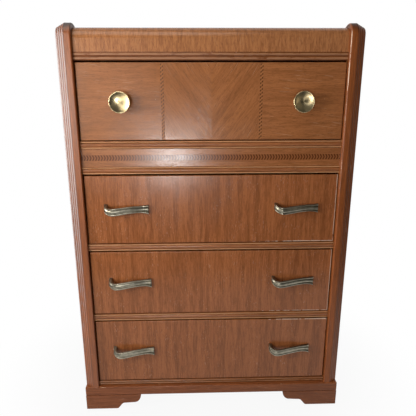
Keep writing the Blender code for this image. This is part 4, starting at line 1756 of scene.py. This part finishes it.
@dataclass(frozen=True)
class SoftLamp:
    """A flat studio lamp aimed at a point."""

    name: str
    place: tuple[float, float, float]
    aim: tuple[float, float, float]
    width: float
    height: float
    power: float
    colour: Colour = (1.0, 1.0, 1.0)
    mirrored: bool = True

    def build(self) -> None:
        """Hang the lamp, and keep it out of reflections if they shouldn't show it."""
        light = bpy.data.lights.new(self.name, "AREA")
        light.shape = "RECTANGLE"
        light.size, light.size_y = self.width, self.height
        light.energy, light.color = self.power, self.colour
        lamp = bpy.data.objects.new(self.name, light)
        lamp.location = self.place
        lamp.rotation_euler = (Vector(self.aim) - Vector(self.place)).to_track_quat("-Z", "Y").to_euler()
        lamp.visible_camera = False
        lamp.visible_glossy = self.mirrored
        bpy.context.scene.collection.objects.link(lamp)


@dataclass
class Studio:
    """The camera, the lamps, the pale floor and the white surroundings."""

    camera_place: tuple[float, float, float] = (-0.0427, -1.3727, 0.9833)
    camera_pitch: float = math.radians(75.027)
    camera_yaw: float = math.radians(-1.533)
    camera_roll: float = math.radians(-0.15)
    lens: float = 36.0
    sensor: float = 36.0
    floor_half: float = 1.2
    floor_glow: float = 0.93
    floor_fade: Span = (0.35, 0.85)
    floor_colour: Colour = (0.28, 0.28, 0.28)
    surround: Colour = (0.05, 0.05, 0.05)
    # How far a reflected ray points back where it starts to meet white, and where it meets nothing else
    white_edge: Span = (-0.05, 0.25)
    lamps: tuple[SoftLamp, ...] = (
        SoftLamp("key_lamp", (-0.60, -1.75, 0.90), (0.0, -0.2, 0.95), 0.6, 1.0, 2.5, (1.0, 0.97, 0.92)),
        SoftLamp("left_lamp", (-0.85, -0.95, 1.02), (0.0, -0.2, 0.9), 0.35, 0.45, 6.8, (1.0, 0.97, 0.90)),
        SoftLamp("top_lamp", (-0.40, -0.85, 2.20), (0.0, -0.1, 1.0), 1.2, 0.8, 8.3, (1.0, 0.97, 0.90)),
        SoftLamp("window_lamp", (-0.28, -3.0, 0.42), (0.0, -0.2, 0.75), 0.26, 0.26, 16.0),
        SoftLamp("knob_lamp", (1.20, -1.50, 0.95), (0.3, -0.2, 0.95), 0.25, 0.9, 0.6, (1.0, 0.90, 0.72)),
        SoftLamp("reed_lamp", (-1.75, -0.55, 1.00), (-0.4, -0.2, 1.0), 0.9, 0.9, 26.0),
        SoftLamp("back_lamp", (0.50, 2.20, 1.40), (0.0, 0.2, 0.6), 1.2, 1.2, 25.0, mirrored=False),
        SoftLamp("right_lamp", (1.90, 1.50, 1.20), (0.4, 0.1, 0.6), 1.0, 1.0, 22.0, mirrored=False),
    )

    def build_camera(self) -> None:
        """Stand the camera where the photograph was taken from."""
        data = bpy.data.cameras.new("camera")
        data.lens, data.sensor_width = self.lens, self.sensor
        camera = bpy.data.objects.new("camera", data)
        turn = Matrix.Rotation(self.camera_yaw, 4, "Z") @ Matrix.Rotation(self.camera_pitch, 4, "X")
        turn = turn @ Matrix.Rotation(self.camera_roll, 4, "Z")
        camera.matrix_world = Matrix.Translation(self.camera_place) @ turn
        bpy.context.scene.collection.objects.link(camera)
        bpy.context.scene.camera = camera

    def build_floor(self) -> None:
        """Lay a pale floor that shows white, but keeps the chest's shadow."""
        mesh = bpy.data.meshes.new("floor")
        bm = bmesh.new()
        bmesh.ops.create_grid(bm, x_segments=1, y_segments=1, size=self.floor_half)
        bm.to_mesh(mesh)
        bm.free()
        floor = bpy.data.objects.new("floor", mesh)
        bpy.context.scene.collection.objects.link(floor)
        material = bpy.data.materials.new("pale_floor")
        material.use_nodes = True
        sheet = NodeSheet(material.node_tree)
        sheet.tree.nodes.clear()
        path = sheet.add("LightPath", {}).outputs
        mirrored = sheet.math("MAXIMUM", path["Is Glossy Ray"], path["Is Transmission Ray"])
        seen = sheet.math("MAXIMUM", path["Is Camera Ray"], mirrored)
        away = sheet.vector("LENGTH", sheet.add("NewGeometry", {}).outputs["Position"])
        matt = sheet.add("BsdfDiffuse", {"Color": self.floor_colour})
        glow = sheet.add("Emission", {"Color": (1.0, 1.0, 1.0), "Strength": 1.0})
        far = sheet.ramp(away, *self.floor_fade)
        faded = sheet.math("MULTIPLY_ADD", far, 1 - self.floor_glow, self.floor_glow)
        share = sheet.math("MULTIPLY", seen, faded)
        mixed = sheet.add("MixShader", {0: share, 1: matt.outputs[0], 2: glow.outputs[0]})
        sheet.add("OutputMaterial", {"Surface": mixed.outputs[0]})
        mesh.materials.append(material)

    def build_world(self) -> None:
        """Light the chest from all round, with plain white behind it."""
        world = bpy.data.worlds.new("studio")
        bpy.context.scene.world = world
        world.use_nodes = True
        sheet = NodeSheet(world.node_tree)
        sheet.tree.nodes.clear()
        path = sheet.add("LightPath", {}).outputs
        _, depth, _ = sheet.parts(sheet.add("TexCoord", {}).outputs["Generated"])
        mirrored = sheet.math("MAXIMUM", path["Is Glossy Ray"], path["Is Transmission Ray"])
        mirrored = sheet.math("MULTIPLY", mirrored, sheet.ramp(depth, *self.white_edge))
        seen = sheet.math("MAXIMUM", path["Is Camera Ray"], mirrored)
        room = sheet.add("Background", {"Color": self.surround, "Strength": 1.0})
        white = sheet.add("Background", {"Color": (1.0, 1.0, 1.0), "Strength": 1.0})
        mixed = sheet.add("MixShader", {0: seen, 1: room.outputs[0], 2: white.outputs[0]})
        sheet.add("OutputWorld", {"Surface": mixed.outputs[0]})

    def build(self) -> None:
        """Set up the whole studio."""
        bpy.context.scene.view_settings.view_transform = "Standard"
        self.build_camera()
        self.build_floor()
        self.build_world()
        for lamp in self.lamps:
            lamp.build()


def build_case(finishes: Finishes) -> None:
    """Build the case: posts, top, rails, frieze, sides, back, plinth, feet and runners.

    Args:
        finishes: The chest's materials.
    """
    for side in Side:
        Post(side).build(finishes)
        SidePanel(side).build(finishes)
        PlainBoard(f"plinth_{side.word}", CASE, Axis.Y, Slot.CASE_WOOD, ease=0.0015).build(finishes.case)
        for end in End:
            BracketFoot(end, side).build(finishes)
        for number in DRAWERS:
            DrawerRunner(number, side).build(finishes)
    WaterfallTop().build(finishes)
    for node in ("upper_rail", "frieze_rail", "middle_rail", "lower_rail"):
        BeadedRail(node).build(finishes.rail)
    for node in ("top_moulding", "bottom_rail"):
        BeadedRail(node, bead_shares=(1.0, 1.0)).build(finishes.moulding)
    PlainBoard("frieze_board", CASE, Axis.X, Slot.FACE_VENEER, ease=0.0004).build(finishes.veneer)
    InlaidBand("frieze_inlay", CASE, Axis.X).build(finishes)
    PlainBoard("plinth_front", CASE, Axis.X, Slot.CASE_WOOD, ease=0.003).build(finishes.case)
    PlainBoard("plinth_back", CASE, Axis.X, Slot.BOX_WOOD, ease=0.001).build(finishes.box)
    PlainBoard("back_panel", CASE, Axis.Z, Slot.BOX_WOOD, ease=0.0006).build(finishes.box)


def main() -> None:
    """Build the studio, the case and the drawers."""
    logging.basicConfig(level=logging.INFO, format="%(name)s: %(message)s")
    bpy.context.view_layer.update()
    Studio().build()
    finishes = Finishes(Effects())
    build_case(finishes)
    for number in DRAWERS:
        Drawer(number).build(finishes)


if __name__ == "__main__":
    main()
